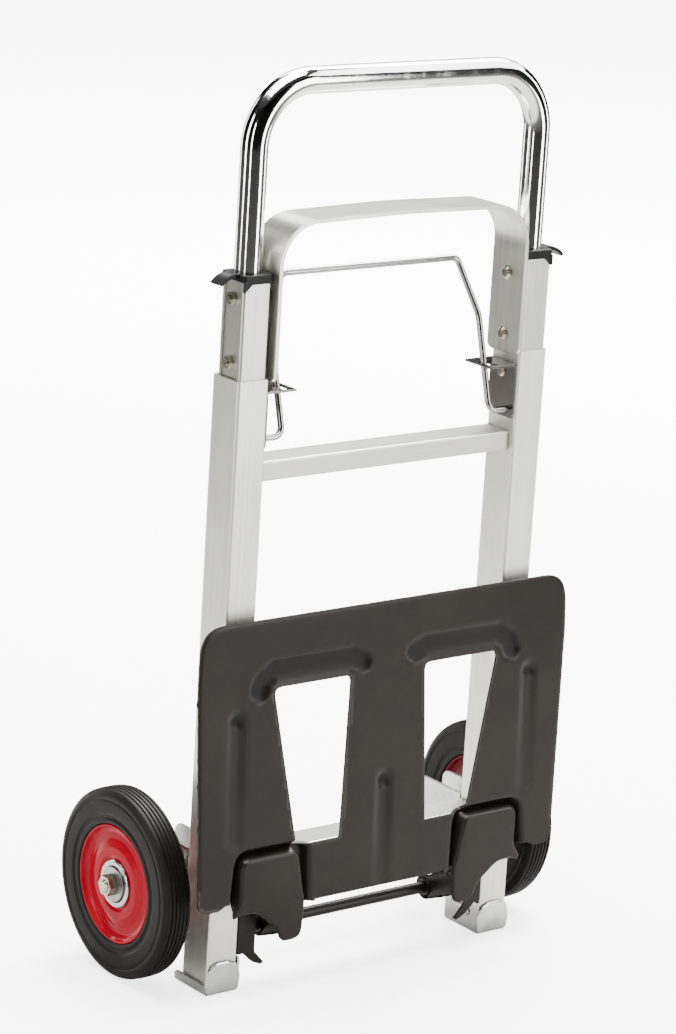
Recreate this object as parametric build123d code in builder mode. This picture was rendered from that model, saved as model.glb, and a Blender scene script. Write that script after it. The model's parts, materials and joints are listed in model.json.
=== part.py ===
"""Folding two-wheel hand truck: aluminium frame, sliding handle section, folding toe plate.

Millimetres, +Z up. The truck stands on its two feet and two wheels at z = 0. X runs across the truck,
and the load rests against the stiles from the -Y side. The origin is the centre of its footprint.
"""
from build123d import *
import os
from math import atan2, cos, degrees, hypot, radians, sin

os.makedirs("parts", exist_ok=True)

# Driving dimensions
FRAME_WIDTH = 344.0          # over the outer faces of the two stiles
STILE_WIDTH = 32.0           # stile tube, across the truck
STILE_DEPTH = 39.0           # stile tube, front to back
STILE_WALL = 1.5
STILE_CORNER = 2.4
STILE_TOP = 563.0

WHEEL_RADIUS = 87.5
TYRE_WIDTH = 29.0
RIM_RADIUS = 55.0            # where the steel discs end and the rubber starts
WHEEL_GAP = 22.0             # stile's outer face to the tyre
AXLE_RADIUS = 6.0
AXLE_SETBACK = 82.4          # stile front to the axle's centre

CROSSBAR_HEIGHT = 18.0
CROSSBAR_DEPTH = 32.0
CROSSBAR_SETBACK = 7.0
CROSSBAR_WALL = 1.6
UPPER_CROSSBAR_TOP = 487.5
LOWER_CROSSBAR_TOP = 124.0

FOOT_SHEET = 2.5
FOOT_LENGTH = 47.0
FOOT_TAB_HEIGHT = 33.0
FOOT_CHEEK_HEIGHT = 31.0
FOOT_LIP_HEIGHT = 10.0

PLATE_WIDTH = 416.0
PLATE_HEIGHT = 270.0
PLATE_SHEET = 2.5
PLATE_BOTTOM = 81.0          # height of its lower edge when folded up
PLATE_REACH = 24.0           # stile front to its front face, at the lower edge
PLATE_LEAN = 2.35            # degrees that it leans back towards the stiles
PLATE_CORNER = 31.0
PRESSING_DEPTH = 4.0         # stiffening channels pressed into the plate
POCKET_DEPTH = 9.5           # recess around each hinge knuckle

HINGE_SETBACK = 18.0         # stile front to the hinge rod's centre
HINGE_HEIGHT = 51.0
HINGE_ROD_RADIUS = 5.5
HINGE_BUSH_RADIUS = 8.0
KNUCKLE_REACH = 25.0         # stile front to the knuckle's face
KNUCKLE_SHEET = 2.5
KNUCKLE_INNER = 86.5         # knuckle's inner side, from the middle of the truck
KNUCKLE_OUTER = 157.5
KNUCKLE_TOP = 132.5

INNER_STILE_BOTTOM = 250.0
INNER_STILE_TOP = 649.0
INNER_STILE_DEPTH = 32.4
INNER_STILE_WALL = 1.8
STILE_GROOVE = 1.0           # depth of the shallow channel down its outer face
GROOVED_WALL = 1.3           # what is left of the wall under that channel
SLIDE_TRAVEL = 240.0
LOCK_STEP = 80.0             # spacing of the locking holes

STRAP_THICKNESS = 4.0
STRAP_WIDTH = 44.0
STRAP_BOTTOM = 560.0
STRAP_TOP = 703.0
STRAP_BEND = 38.0
STRAP_GAP = 2.0              # stile's inner face to the strap

HANDLE_RADIUS = 12.0
HANDLE_WALL = 1.5
HANDLE_TOP = 829.0
HANDLE_BOTTOM = 556.0
HANDLE_BEND = 56.0

CAP_HEIGHT = 6.0
CAP_WING = 19.0              # how far the cord hook stands out of the stile

BOLT_HEIGHTS = (577.0, 633.0)
BOLT_RADIUS = 3.0
BOLT_HEAD_RADIUS = 6.0
BOLT_HEAD_HEIGHT = 3.6
NUT_ACROSS_FLATS = 10.0
NUT_HEIGHT = 4.5

BAIL_RADIUS = 3.0
BAIL_PIVOT_SETBACK = 9.0
BAIL_PIVOT_HEIGHT = 508.0
BAIL_LEG = 116.0             # from the middle of the truck
BAIL_HEIGHT = 141.0          # pivots to the top bar, along the lean
BAIL_LEAN = 15.9             # degrees
BAIL_TOP_HALF = 98.0

LOCK_PLATE_SHEET = 2.0
LOCK_PLATE_BOTTOM = 500.0
LOCK_PLATE_TOP = 551.0
LOCK_SHELF_REACH = 32.0

# Named clearances
RUNNING_FIT = 0.05           # radial, shafts that turn in bores
SLIDE_FIT = 0.3              # each side, sliding section in its stile
SIDE_GAP = 0.35              # end play beside a turning wheel or knuckle
FIXED_FIT = 0.03             # radial, pins and tubes fixed in their holes
SEAT_GAP = 0.02              # between sheets that are fixed face to face

# Places worked out from the driving dimensions
OUTER_FACE = FRAME_WIDTH / 2
INNER_FACE = OUTER_FACE - STILE_WIDTH
STILE_X = OUTER_FACE - STILE_WIDTH / 2
STILE_FRONT = (KNUCKLE_REACH - AXLE_SETBACK - WHEEL_RADIUS) / 2
STILE_BACK = STILE_FRONT + STILE_DEPTH
STILE_Y = STILE_FRONT + STILE_DEPTH / 2
AXLE_Y = STILE_FRONT + AXLE_SETBACK
AXLE_Z = WHEEL_RADIUS
HINGE_Y = STILE_FRONT + HINGE_SETBACK
HINGE_Z = HINGE_HEIGHT
INNER_STILE_X1 = OUTER_FACE - STILE_WALL - SLIDE_FIT
INNER_STILE_X0 = INNER_FACE + STILE_WALL + SLIDE_FIT
INNER_STILE_WIDTH = INNER_STILE_X1 - INNER_STILE_X0
INNER_STILE_FRONT = STILE_FRONT + STILE_WALL + SLIDE_FIT
INNER_STILE_BACK = INNER_STILE_FRONT + INNER_STILE_DEPTH
CAVITY_X0 = INNER_STILE_X0 + INNER_STILE_WALL
CAVITY_X1 = INNER_STILE_X1 - STILE_GROOVE - GROOVED_WALL
HANDLE_X = (CAVITY_X0 + CAVITY_X1) / 2
HANDLE_Y = (INNER_STILE_FRONT + INNER_STILE_BACK) / 2
STRAP_X = INNER_FACE - STRAP_GAP - STRAP_THICKNESS / 2
STRAP_Y = HANDLE_Y
SIDES = {"left": -1, "right": 1}


def x_cylinder(side, x_near, x_far, y, z, radius, mode=Mode.ADD):
    """A cylinder along X on one side of the truck, between two distances from its middle."""
    with Locations((side * (x_near + x_far) / 2, y, z)):
        Cylinder(radius, x_far - x_near, rotation=(0, 90, 0), mode=mode)


def y_plane(y):
    """Upright plane that faces the load: local x is +X, local y is +Z, and extrusions go towards -Y."""
    return Plane.XZ.offset(-y)


def save(part, name):
    """Names a finished piece and writes its file."""
    part.label = name
    export_step(part, f"parts/{name}.step")


# ---------------------------------------------------------------- frame
RIVET_RADIUS = 2.4
BRACKET_SHEET = 2.5
BRACKET_BOTTOM = 57.0
BRACKET_TOP = 128.0
BRACKET_REAR = STILE_FRONT + 102.0
BRACKET_RIVET_HEIGHTS = (BRACKET_BOTTOM + 12.0, BRACKET_TOP - 12.0)
FOOT_RIVET_Y = STILE_FRONT + 13.6
FOOT_RIVET_Z = 18.4
BAIL_PIVOT_Y = STILE_FRONT + BAIL_PIVOT_SETBACK
LOCK_RIVET_Y = STILE_FRONT + 21.0
LOCK_RIVET_Z = 541.0

for name, side in SIDES.items():
    with BuildPart() as stile:
        with BuildSketch(Plane.XY.offset(FOOT_SHEET)):
            with Locations((side * STILE_X, STILE_Y)):
                RectangleRounded(STILE_WIDTH, STILE_DEPTH, STILE_CORNER)
                RectangleRounded(
                    STILE_WIDTH - 2 * STILE_WALL,
                    STILE_DEPTH - 2 * STILE_WALL,
                    STILE_CORNER - STILE_WALL,
                    mode=Mode.SUBTRACT,
                )
        extrude(amount=STILE_TOP - FOOT_SHEET)
        inner_wall = (INNER_FACE - 1, INNER_FACE + STILE_WALL + 1)
        x_cylinder(side, *inner_wall, HINGE_Y, HINGE_Z, HINGE_ROD_RADIUS + FIXED_FIT, Mode.SUBTRACT)
        x_cylinder(
            side, *inner_wall, BAIL_PIVOT_Y, BAIL_PIVOT_HEIGHT, BAIL_RADIUS + RUNNING_FIT, Mode.SUBTRACT
        )
        x_cylinder(side, *inner_wall, LOCK_RIVET_Y, LOCK_RIVET_Z, RIVET_RADIUS + FIXED_FIT, Mode.SUBTRACT)
        x_cylinder(side, *inner_wall, FOOT_RIVET_Y, FOOT_RIVET_Z, RIVET_RADIUS + FIXED_FIT, Mode.SUBTRACT)
        for height in BRACKET_RIVET_HEIGHTS:
            with Locations((side * STILE_X, STILE_BACK, height)):
                Cylinder(
                    RIVET_RADIUS + FIXED_FIT, 3 * STILE_WALL, rotation=(90, 0, 0), mode=Mode.SUBTRACT
                )
    save(stile.part, f"stile_{name}")

CROSSBAR_Y = STILE_FRONT + CROSSBAR_SETBACK + CROSSBAR_DEPTH / 2
for name, top in {"upper": UPPER_CROSSBAR_TOP, "lower": LOWER_CROSSBAR_TOP}.items():
    with BuildPart() as crossbar:
        with BuildSketch(Plane.YZ):
            with Locations((CROSSBAR_Y, top - CROSSBAR_HEIGHT / 2)):
                RectangleRounded(CROSSBAR_DEPTH, CROSSBAR_HEIGHT, 1.8)
                Rectangle(
                    CROSSBAR_DEPTH - 2 * CROSSBAR_WALL,
                    CROSSBAR_HEIGHT - 2 * CROSSBAR_WALL,
                    mode=Mode.SUBTRACT,
                )
        extrude(amount=INNER_FACE, both=True)
    save(crossbar.part, f"{name}_crossbar")

# A foot is one sheet, bent up in front, inside and outside of the stile that stands in it.
FOOT_OUTER = OUTER_FACE + FOOT_SHEET
FOOT_INNER = INNER_FACE - FOOT_SHEET
FOOT_FRONT = STILE_FRONT - FOOT_SHEET
FOOT_REAR = STILE_FRONT + FOOT_LENGTH
for name, side in SIDES.items():
    with BuildPart() as foot:
        with BuildSketch(Plane.XY):
            with Locations((side * (FOOT_OUTER + FOOT_INNER) / 2, (FOOT_FRONT + FOOT_REAR) / 2)):
                Rectangle(FOOT_OUTER - FOOT_INNER, FOOT_REAR - FOOT_FRONT)
        extrude(amount=FOOT_SHEET)
        with BuildSketch(y_plane(STILE_FRONT)):
            with BuildLine():
                FilletPolyline(
                    (side * FOOT_INNER, 0),
                    (side * FOOT_INNER, FOOT_TAB_HEIGHT - 12),
                    (side * (FOOT_INNER + 14), FOOT_TAB_HEIGHT),
                    (side * (FOOT_OUTER - 3), FOOT_TAB_HEIGHT),
                    (side * FOOT_OUTER, FOOT_TAB_HEIGHT - 16),
                    (side * FOOT_OUTER, 0),
                    radius=[9, 7, 5, 8],
                )
                Line((side * FOOT_OUTER, 0), (side * FOOT_INNER, 0))
            make_face()
        extrude(amount=FOOT_SHEET)
        with BuildSketch(Plane.YZ.offset(side * INNER_FACE)):
            with BuildLine():
                Polyline(
                    (STILE_FRONT, 0),
                    (STILE_FRONT, FOOT_CHEEK_HEIGHT),
                    (STILE_FRONT + 16, FOOT_CHEEK_HEIGHT),
                    (STILE_FRONT + 22, 22),
                    (STILE_FRONT + 30, 22),
                    (STILE_FRONT + 33, 27),
                    (FOOT_REAR - 3, 27),
                    (FOOT_REAR, 24),
                    (FOOT_REAR, 0),
                    (STILE_FRONT, 0),
                )
            make_face()
            with Locations((FOOT_RIVET_Y, FOOT_RIVET_Z)):
                Circle(RIVET_RADIUS + FIXED_FIT, mode=Mode.SUBTRACT)
        extrude(amount=-side * FOOT_SHEET)
        with BuildSketch(Plane.YZ.offset(side * OUTER_FACE)):
            with Locations(((FOOT_FRONT + FOOT_REAR) / 2, FOOT_LIP_HEIGHT / 2)):
                Rectangle(FOOT_REAR - FOOT_FRONT, FOOT_LIP_HEIGHT)
        extrude(amount=side * FOOT_SHEET)
        fillet(
            foot.edges().filter_by(Axis.Z).group_by(Axis.Y)[0], radius=FOOT_SHEET * 0.8
        )
    save(foot.part, f"foot_{name}")

# Axle brackets: channels on the backs of the stiles, open to the rear.
for name, side in SIDES.items():
    with BuildPart() as bracket:
        for cheek_face in (OUTER_FACE, INNER_FACE + BRACKET_SHEET):
            with BuildSketch(Plane.YZ.offset(side * cheek_face)):
                with BuildLine():
                    FilletPolyline(
                        (STILE_BACK, BRACKET_BOTTOM),
                        (STILE_BACK, BRACKET_TOP),
                        (BRACKET_REAR, BRACKET_TOP),
                        (BRACKET_REAR, BRACKET_BOTTOM + 8),
                        (BRACKET_REAR - 16, BRACKET_BOTTOM),
                        radius=[0.5, 9, 10],
                    )
                    Line((BRACKET_REAR - 16, BRACKET_BOTTOM), (STILE_BACK, BRACKET_BOTTOM))
                make_face()
                with Locations((AXLE_Y, AXLE_Z)):
                    Circle(AXLE_RADIUS + FIXED_FIT, mode=Mode.SUBTRACT)
            extrude(amount=-side * BRACKET_SHEET)
        with BuildSketch(y_plane(STILE_BACK + BRACKET_SHEET)):
            with Locations((side * STILE_X, (BRACKET_BOTTOM + BRACKET_TOP) / 2)):
                Rectangle(STILE_WIDTH, BRACKET_TOP - BRACKET_BOTTOM)
            for height in BRACKET_RIVET_HEIGHTS:
                with Locations((side * STILE_X, height)):
                    Circle(RIVET_RADIUS + FIXED_FIT, mode=Mode.SUBTRACT)
        extrude(amount=BRACKET_SHEET)
    save(bracket.part, f"axle_bracket_{name}")

# Fixed axle with a spacer, a washer and a nut at each end
WHEEL_INNER = OUTER_FACE + WHEEL_GAP
WHEEL_OUTER = WHEEL_INNER + TYRE_WIDTH
HUB_INNER = WHEEL_INNER - 5.0
HUB_OUTER = WHEEL_OUTER - 3.0
WASHER_RADIUS = 16.0
WASHER_THICKNESS = 2.0
AXLE_NUT_FLATS = 17.0
AXLE_NUT_HEIGHT = 8.5
AXLE_END = HUB_OUTER + SIDE_GAP + WASHER_THICKNESS + AXLE_NUT_HEIGHT + 2.0
SPACER_RADIUS = 10.0

with BuildPart() as axle:
    with BuildSketch(Plane.YZ):
        with Locations((AXLE_Y, AXLE_Z)):
            Circle(AXLE_RADIUS)
    extrude(amount=AXLE_END, both=True)
    chamfer(axle.edges().filter_by(GeomType.CIRCLE), length=1.2)
save(axle.part, "axle")

with BuildPart() as axle_spacers:
    for side in SIDES.values():
        x_cylinder(side, OUTER_FACE, HUB_INNER - SIDE_GAP, AXLE_Y, AXLE_Z, SPACER_RADIUS)
    with BuildSketch(Plane.YZ):
        with Locations((AXLE_Y, AXLE_Z)):
            Circle(AXLE_RADIUS + FIXED_FIT)
    extrude(amount=AXLE_END, both=True, mode=Mode.SUBTRACT)
save(axle_spacers.part, "axle_spacers")

WASHER_FACE = HUB_OUTER + SIDE_GAP
with BuildPart() as axle_washers:
    for side in SIDES.values():
        x_cylinder(side, WASHER_FACE, WASHER_FACE + WASHER_THICKNESS, AXLE_Y, AXLE_Z, WASHER_RADIUS)
    with BuildSketch(Plane.YZ):
        with Locations((AXLE_Y, AXLE_Z)):
            Circle(AXLE_RADIUS + FIXED_FIT)
    extrude(amount=AXLE_END, both=True, mode=Mode.SUBTRACT)
save(axle_washers.part, "axle_washers")

with BuildPart() as axle_nuts:
    for side in SIDES.values():
        with BuildSketch(Plane.YZ.offset(side * (WASHER_FACE + WASHER_THICKNESS))):
            with Locations((AXLE_Y, AXLE_Z)):
                RegularPolygon(AXLE_NUT_FLATS / 2, 6, major_radius=False)
                Circle(AXLE_RADIUS + FIXED_FIT, mode=Mode.SUBTRACT)
        extrude(amount=side * AXLE_NUT_HEIGHT)
save(axle_nuts.part, "axle_nuts")

# Hinge rod and the two brackets that back it up at the stiles
ROD_END = INNER_FACE + STILE_WALL + 6.0
with BuildPart() as hinge_rod:
    with BuildSketch(Plane.YZ):
        with Locations((HINGE_Y, HINGE_Z)):
            Circle(HINGE_ROD_RADIUS)
    extrude(amount=ROD_END, both=True)
    chamfer(hinge_rod.edges().filter_by(GeomType.CIRCLE), length=0.8)
save(hinge_rod.part, "hinge_rod")

STRIP_SHEET = 2.0
STRIP_INNER = INNER_FACE - 19.0
STRIP_TOP = 78.0
STRIP_BOTTOM = FOOT_CHEEK_HEIGHT + 2.0
TAIL_TIP = INNER_FACE - 30.0
for name, side in SIDES.items():
    with BuildPart() as hinge_bracket:
        with BuildSketch(y_plane(STILE_FRONT + STRIP_SHEET)):
            with BuildLine():
                Polyline(
                    (side * INNER_FACE, STRIP_BOTTOM),
                    (side * INNER_FACE, STRIP_TOP),
                    (side * STRIP_INNER, STRIP_TOP),
                    (side * STRIP_INNER, STRIP_BOTTOM),
                    (side * TAIL_TIP, 21),
                    (side * (TAIL_TIP + 3), 19),
                    (side * (TAIL_TIP + 12.5), 23),
                    (side * (INNER_FACE - 6.5), STRIP_BOTTOM),
                    (side * INNER_FACE, STRIP_BOTTOM),
                )
            make_face()
        extrude(amount=STRIP_SHEET)
        with BuildSketch(Plane.YZ.offset(side * INNER_FACE)):
            with BuildLine():
                FilletPolyline(
                    (STILE_FRONT, STRIP_BOTTOM),
                    (STILE_FRONT, STRIP_TOP),
                    (HINGE_Y + 14, STRIP_TOP - 6),
                    (HINGE_Y + 14, STRIP_BOTTOM + 4),
                    radius=[0, 0, 8, 8],
                    close=True,
                )
            make_face()
            with Locations((HINGE_Y, HINGE_Z)):
                Circle(HINGE_ROD_RADIUS + FIXED_FIT, mode=Mode.SUBTRACT)
        extrude(amount=-side * STRIP_SHEET)
    save(hinge_bracket.part, f"hinge_bracket_{name}")

# Lock plates: an upright plate on the stile and a slotted shelf that the bail's leg passes through
SHELF_SLOT_WIDTH = 2 * BAIL_RADIUS + 3.0
LOCK_PLATE_REAR = STILE_FRONT + 38.0
LOCK_PLATE_FRONT = STILE_FRONT + 2.0
SHELF_RISE = LOCK_PLATE_TOP - LOCK_PLATE_SHEET / 2 - BAIL_PIVOT_HEIGHT
SHELF_BAIL_Y = BAIL_PIVOT_Y + SHELF_RISE * sin(radians(BAIL_LEAN)) / cos(radians(BAIL_LEAN))
SLOT_REAR = SHELF_BAIL_Y + BAIL_RADIUS + 0.8
SLOT_FRONT = LOCK_PLATE_FRONT + 3.0
for name, side in SIDES.items():
    with BuildPart() as lock_plate:
        with BuildSketch(Plane.YZ.offset(side * INNER_FACE)):
            with Locations(
                ((LOCK_PLATE_FRONT + LOCK_PLATE_REAR) / 2, (LOCK_PLATE_BOTTOM + LOCK_PLATE_TOP) / 2)
            ):
                RectangleRounded(LOCK_PLATE_REAR - LOCK_PLATE_FRONT, LOCK_PLATE_TOP - LOCK_PLATE_BOTTOM, 4)
            with Locations((BAIL_PIVOT_Y, BAIL_PIVOT_HEIGHT)):
                Circle(BAIL_RADIUS + RUNNING_FIT, mode=Mode.SUBTRACT)
            with Locations((LOCK_RIVET_Y, LOCK_RIVET_Z)):
                Circle(RIVET_RADIUS + FIXED_FIT, mode=Mode.SUBTRACT)
        extrude(amount=-side * LOCK_PLATE_SHEET)
        with BuildSketch(Plane.XY.offset(LOCK_PLATE_TOP)):
            with Locations(
                (side * (INNER_FACE - LOCK_SHELF_REACH / 2), (LOCK_PLATE_FRONT + LOCK_PLATE_REAR) / 2)
            ):
                Rectangle(LOCK_SHELF_REACH, LOCK_PLATE_REAR - LOCK_PLATE_FRONT)
            with Locations((side * BAIL_LEG, (SLOT_FRONT + SLOT_REAR) / 2)):
                Rectangle(SHELF_SLOT_WIDTH, SLOT_REAR - SLOT_FRONT, mode=Mode.SUBTRACT)
        extrude(amount=-LOCK_PLATE_SHEET)
    save(lock_plate.part, f"lock_plate_{name}")


def dome_head(plane, head_radius, head_height, shank_radius, grip):
    """A domed head standing on a plane, with its shank going back through what it holds."""
    with BuildPart() as fastener:
        with BuildSketch(plane):
            Circle(head_radius)
        extrude(amount=head_height * 0.4)
        with BuildSketch(plane.offset(head_height * 0.4)):
            Circle(head_radius)
        extrude(amount=head_height * 0.6, taper=45)
        with BuildSketch(plane):
            Circle(shank_radius)
        extrude(amount=-grip)
    return fastener.part


RIVET_HEAD_RADIUS = 5.0
RIVET_HEAD_HEIGHT = 2.4


def facing_middle(side, x, y, z):
    """A plane at a point, facing the middle of the truck."""
    return Plane(origin=(side * x, y, z), x_dir=(0, 1, 0), z_dir=(-side, 0, 0))


def save_rivets(seats, head_radius, head_height, grip, name):
    """One set of rivets, each on its own seat plane."""
    rivets = [dome_head(seat, head_radius, head_height, RIVET_RADIUS, grip) for seat in seats]
    with BuildPart() as group:
        for fastener in rivets:
            add(fastener)
    save(group.part, name)


save_rivets(
    [facing_middle(side, INNER_FACE - LOCK_PLATE_SHEET, LOCK_RIVET_Y, LOCK_RIVET_Z) for side in SIDES.values()],
    RIVET_HEAD_RADIUS,
    RIVET_HEAD_HEIGHT,
    LOCK_PLATE_SHEET + STILE_WALL,
    "lock_plate_rivets",
)
save_rivets(
    [facing_middle(side, FOOT_INNER, FOOT_RIVET_Y, FOOT_RIVET_Z) for side in SIDES.values()],
    3.8,
    1.8,
    FOOT_SHEET + STILE_WALL,
    "foot_rivets",
)
save_rivets(
    [
        Plane(
            origin=(side * STILE_X, STILE_BACK + BRACKET_SHEET, height), x_dir=(1, 0, 0), z_dir=(0, 1, 0)
        )
        for side in SIDES.values()
        for height in BRACKET_RIVET_HEIGHTS
    ],
    RIVET_HEAD_RADIUS,
    RIVET_HEAD_HEIGHT,
    BRACKET_SHEET + STILE_WALL,
    "bracket_rivets",
)

# Plastic pads that steady the sliding section at the top of each stile
PAD_LENGTH = 32.0
PAD_FRONT = INNER_STILE_BACK + SLIDE_FIT
PAD_BACK = STILE_BACK - STILE_WALL
for name, side in SIDES.items():
    with BuildPart() as pad:
        with Locations((side * STILE_X, (PAD_FRONT + PAD_BACK) / 2, STILE_TOP - PAD_LENGTH / 2 - 0.5)):
            Box(STILE_WIDTH - 2 * STILE_WALL - 2.4, PAD_BACK - PAD_FRONT, PAD_LENGTH)
    save(pad.part, f"guide_pad_{name}")

# ---------------------------------------------------------------- sliding handle section
FRONT_LIP = 5.0
BACK_LIP = 5.0
for name, side in SIDES.items():
    with BuildPart() as inner_stile:
        with BuildSketch(Plane.XY.offset(INNER_STILE_BOTTOM)):
            with Locations((side * (INNER_STILE_X0 + INNER_STILE_X1) / 2, HANDLE_Y)):
                RectangleRounded(INNER_STILE_WIDTH, INNER_STILE_DEPTH, 2.2)
            with Locations((side * HANDLE_X, HANDLE_Y)):
                Rectangle(
                    CAVITY_X1 - CAVITY_X0,
                    INNER_STILE_DEPTH - 2 * INNER_STILE_WALL,
                    mode=Mode.SUBTRACT,
                )
            groove_front = INNER_STILE_FRONT + FRONT_LIP
            groove_back = INNER_STILE_BACK - BACK_LIP
            with Locations((side * INNER_STILE_X1, (groove_front + groove_back) / 2)):
                Rectangle(2 * STILE_GROOVE, groove_back - groove_front, mode=Mode.SUBTRACT)
        extrude(amount=INNER_STILE_TOP - INNER_STILE_BOTTOM)
        web = (INNER_STILE_X0 - 1, INNER_STILE_X0 + INNER_STILE_WALL + 1)
        for height in BOLT_HEIGHTS:
            x_cylinder(
                side,
                INNER_STILE_X0 - 1,
                INNER_STILE_X1 + 1,
                HANDLE_Y,
                height,
                BOLT_RADIUS + FIXED_FIT,
                Mode.SUBTRACT,
            )
        for step in range(int(SLIDE_TRAVEL / LOCK_STEP) + 1):
            lock_hole = BAIL_PIVOT_HEIGHT - step * LOCK_STEP
            x_cylinder(side, *web, BAIL_PIVOT_Y, lock_hole, BAIL_RADIUS + 0.6, Mode.SUBTRACT)
    save(inner_stile.part, f"inner_stile_{name}")

# Glide blocks plug the lower ends of the inner stiles and run inside the outer ones.
GLIDE_HEIGHT = 18.0
GLIDE_PLUG = 24.0
for name, side in SIDES.items():
    with BuildPart() as glide_block:
        with BuildSketch(Plane.XY.offset(INNER_STILE_BOTTOM)):
            with Locations((side * STILE_X, STILE_Y)):
                RectangleRounded(
                    STILE_WIDTH - 2 * STILE_WALL - 2 * SLIDE_FIT,
                    STILE_DEPTH - 2 * STILE_WALL - 2 * SLIDE_FIT,
                    1.6,
                )
        extrude(amount=-GLIDE_HEIGHT)
        with BuildSketch(Plane.XY.offset(INNER_STILE_BOTTOM)):
            with Locations((side * HANDLE_X, HANDLE_Y)):
                Rectangle(
                    CAVITY_X1 - CAVITY_X0 - 0.2,
                    INNER_STILE_DEPTH - 2 * INNER_STILE_WALL - 0.2,
                )
        extrude(amount=GLIDE_PLUG)
    save(glide_block.part, f"glide_block_{name}")

# The arched strap between the inner stiles
with BuildPart() as strap:
    with BuildLine(Plane.XZ.offset(-STRAP_Y)) as strap_path:
        FilletPolyline(
            (-STRAP_X, STRAP_BOTTOM),
            (-STRAP_X, STRAP_TOP - STRAP_THICKNESS / 2 - 3),
            (0, STRAP_TOP - STRAP_THICKNESS / 2),
            (STRAP_X, STRAP_TOP - STRAP_THICKNESS / 2 - 3),
            (STRAP_X, STRAP_BOTTOM),
            radius=[STRAP_BEND, 900, STRAP_BEND],
        )
    with BuildSketch(Plane.XY.offset(STRAP_BOTTOM)):
        with Locations((-STRAP_X, STRAP_Y)):
            Rectangle(STRAP_THICKNESS, STRAP_WIDTH)
    sweep(path=strap_path.wires()[0])
    fillet(strap.edges().filter_by(Axis.X).group_by(Axis.Z)[0], radius=7)
    for side in SIDES.values():
        for height in BOLT_HEIGHTS:
            x_cylinder(
                side,
                STRAP_X - STRAP_THICKNESS,
                STRAP_X + STRAP_THICKNESS,
                HANDLE_Y,
                height,
                BOLT_RADIUS + FIXED_FIT,
                Mode.SUBTRACT,
            )
save(strap.part, "strap")

SPACER_NEAR = STRAP_X + STRAP_THICKNESS / 2
with BuildPart() as strap_spacers:
    for side in SIDES.values():
        for height in BOLT_HEIGHTS:
            x_cylinder(side, SPACER_NEAR, INNER_STILE_X0, HANDLE_Y, height, 6.5)
            x_cylinder(
                side,
                SPACER_NEAR - 1,
                INNER_STILE_X0 + 1,
                HANDLE_Y,
                height,
                BOLT_RADIUS + FIXED_FIT,
                Mode.SUBTRACT,
            )
save(strap_spacers.part, "strap_spacers")

# Chromed handle: one bent tube, its legs bolted inside the inner stiles
with BuildPart() as handle_tube:
    with BuildLine(Plane.XZ.offset(-HANDLE_Y)) as handle_path:
        FilletPolyline(
            (-HANDLE_X, HANDLE_BOTTOM),
            (-HANDLE_X, HANDLE_TOP - HANDLE_RADIUS),
            (HANDLE_X, HANDLE_TOP - HANDLE_RADIUS),
            (HANDLE_X, HANDLE_BOTTOM),
            radius=HANDLE_BEND,
        )
    with BuildSketch(Plane.XY.offset(HANDLE_BOTTOM)):
        with Locations((-HANDLE_X, HANDLE_Y)):
            Circle(HANDLE_RADIUS)
            Circle(HANDLE_RADIUS - HANDLE_WALL, mode=Mode.SUBTRACT)
    sweep(path=handle_path.wires()[0])
    for side in SIDES.values():
        for height in BOLT_HEIGHTS:
            x_cylinder(
                side,
                HANDLE_X - HANDLE_RADIUS - 1,
                HANDLE_X + HANDLE_RADIUS + 1,
                HANDLE_Y,
                height,
                BOLT_RADIUS + FIXED_FIT,
                Mode.SUBTRACT,
            )
save(handle_tube.part, "handle_tube")

BOLT_SEAT = STRAP_X - STRAP_THICKNESS / 2
NUT_SEAT = INNER_STILE_X1 - STILE_GROOVE
BOLT_LENGTH = NUT_SEAT + NUT_HEIGHT + 1.2 - BOLT_SEAT
bolts = [
    dome_head(
        facing_middle(side, BOLT_SEAT, HANDLE_Y, height),
        BOLT_HEAD_RADIUS,
        BOLT_HEAD_HEIGHT,
        BOLT_RADIUS,
        BOLT_LENGTH,
    )
    for side in SIDES.values()
    for height in BOLT_HEIGHTS
]
with BuildPart() as strap_bolts:
    for bolt in bolts:
        add(bolt)
save(strap_bolts.part, "strap_bolts")

with BuildPart() as strap_nuts:
    for side in SIDES.values():
        for height in BOLT_HEIGHTS:
            with BuildSketch(Plane.YZ.offset(side * NUT_SEAT)):
                with Locations((HANDLE_Y, height)):
                    RegularPolygon(NUT_ACROSS_FLATS / 2, 6, major_radius=False)
                    Circle(BOLT_RADIUS + FIXED_FIT, mode=Mode.SUBTRACT)
            extrude(amount=side * NUT_HEIGHT)
save(strap_nuts.part, "strap_nuts")

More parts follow.
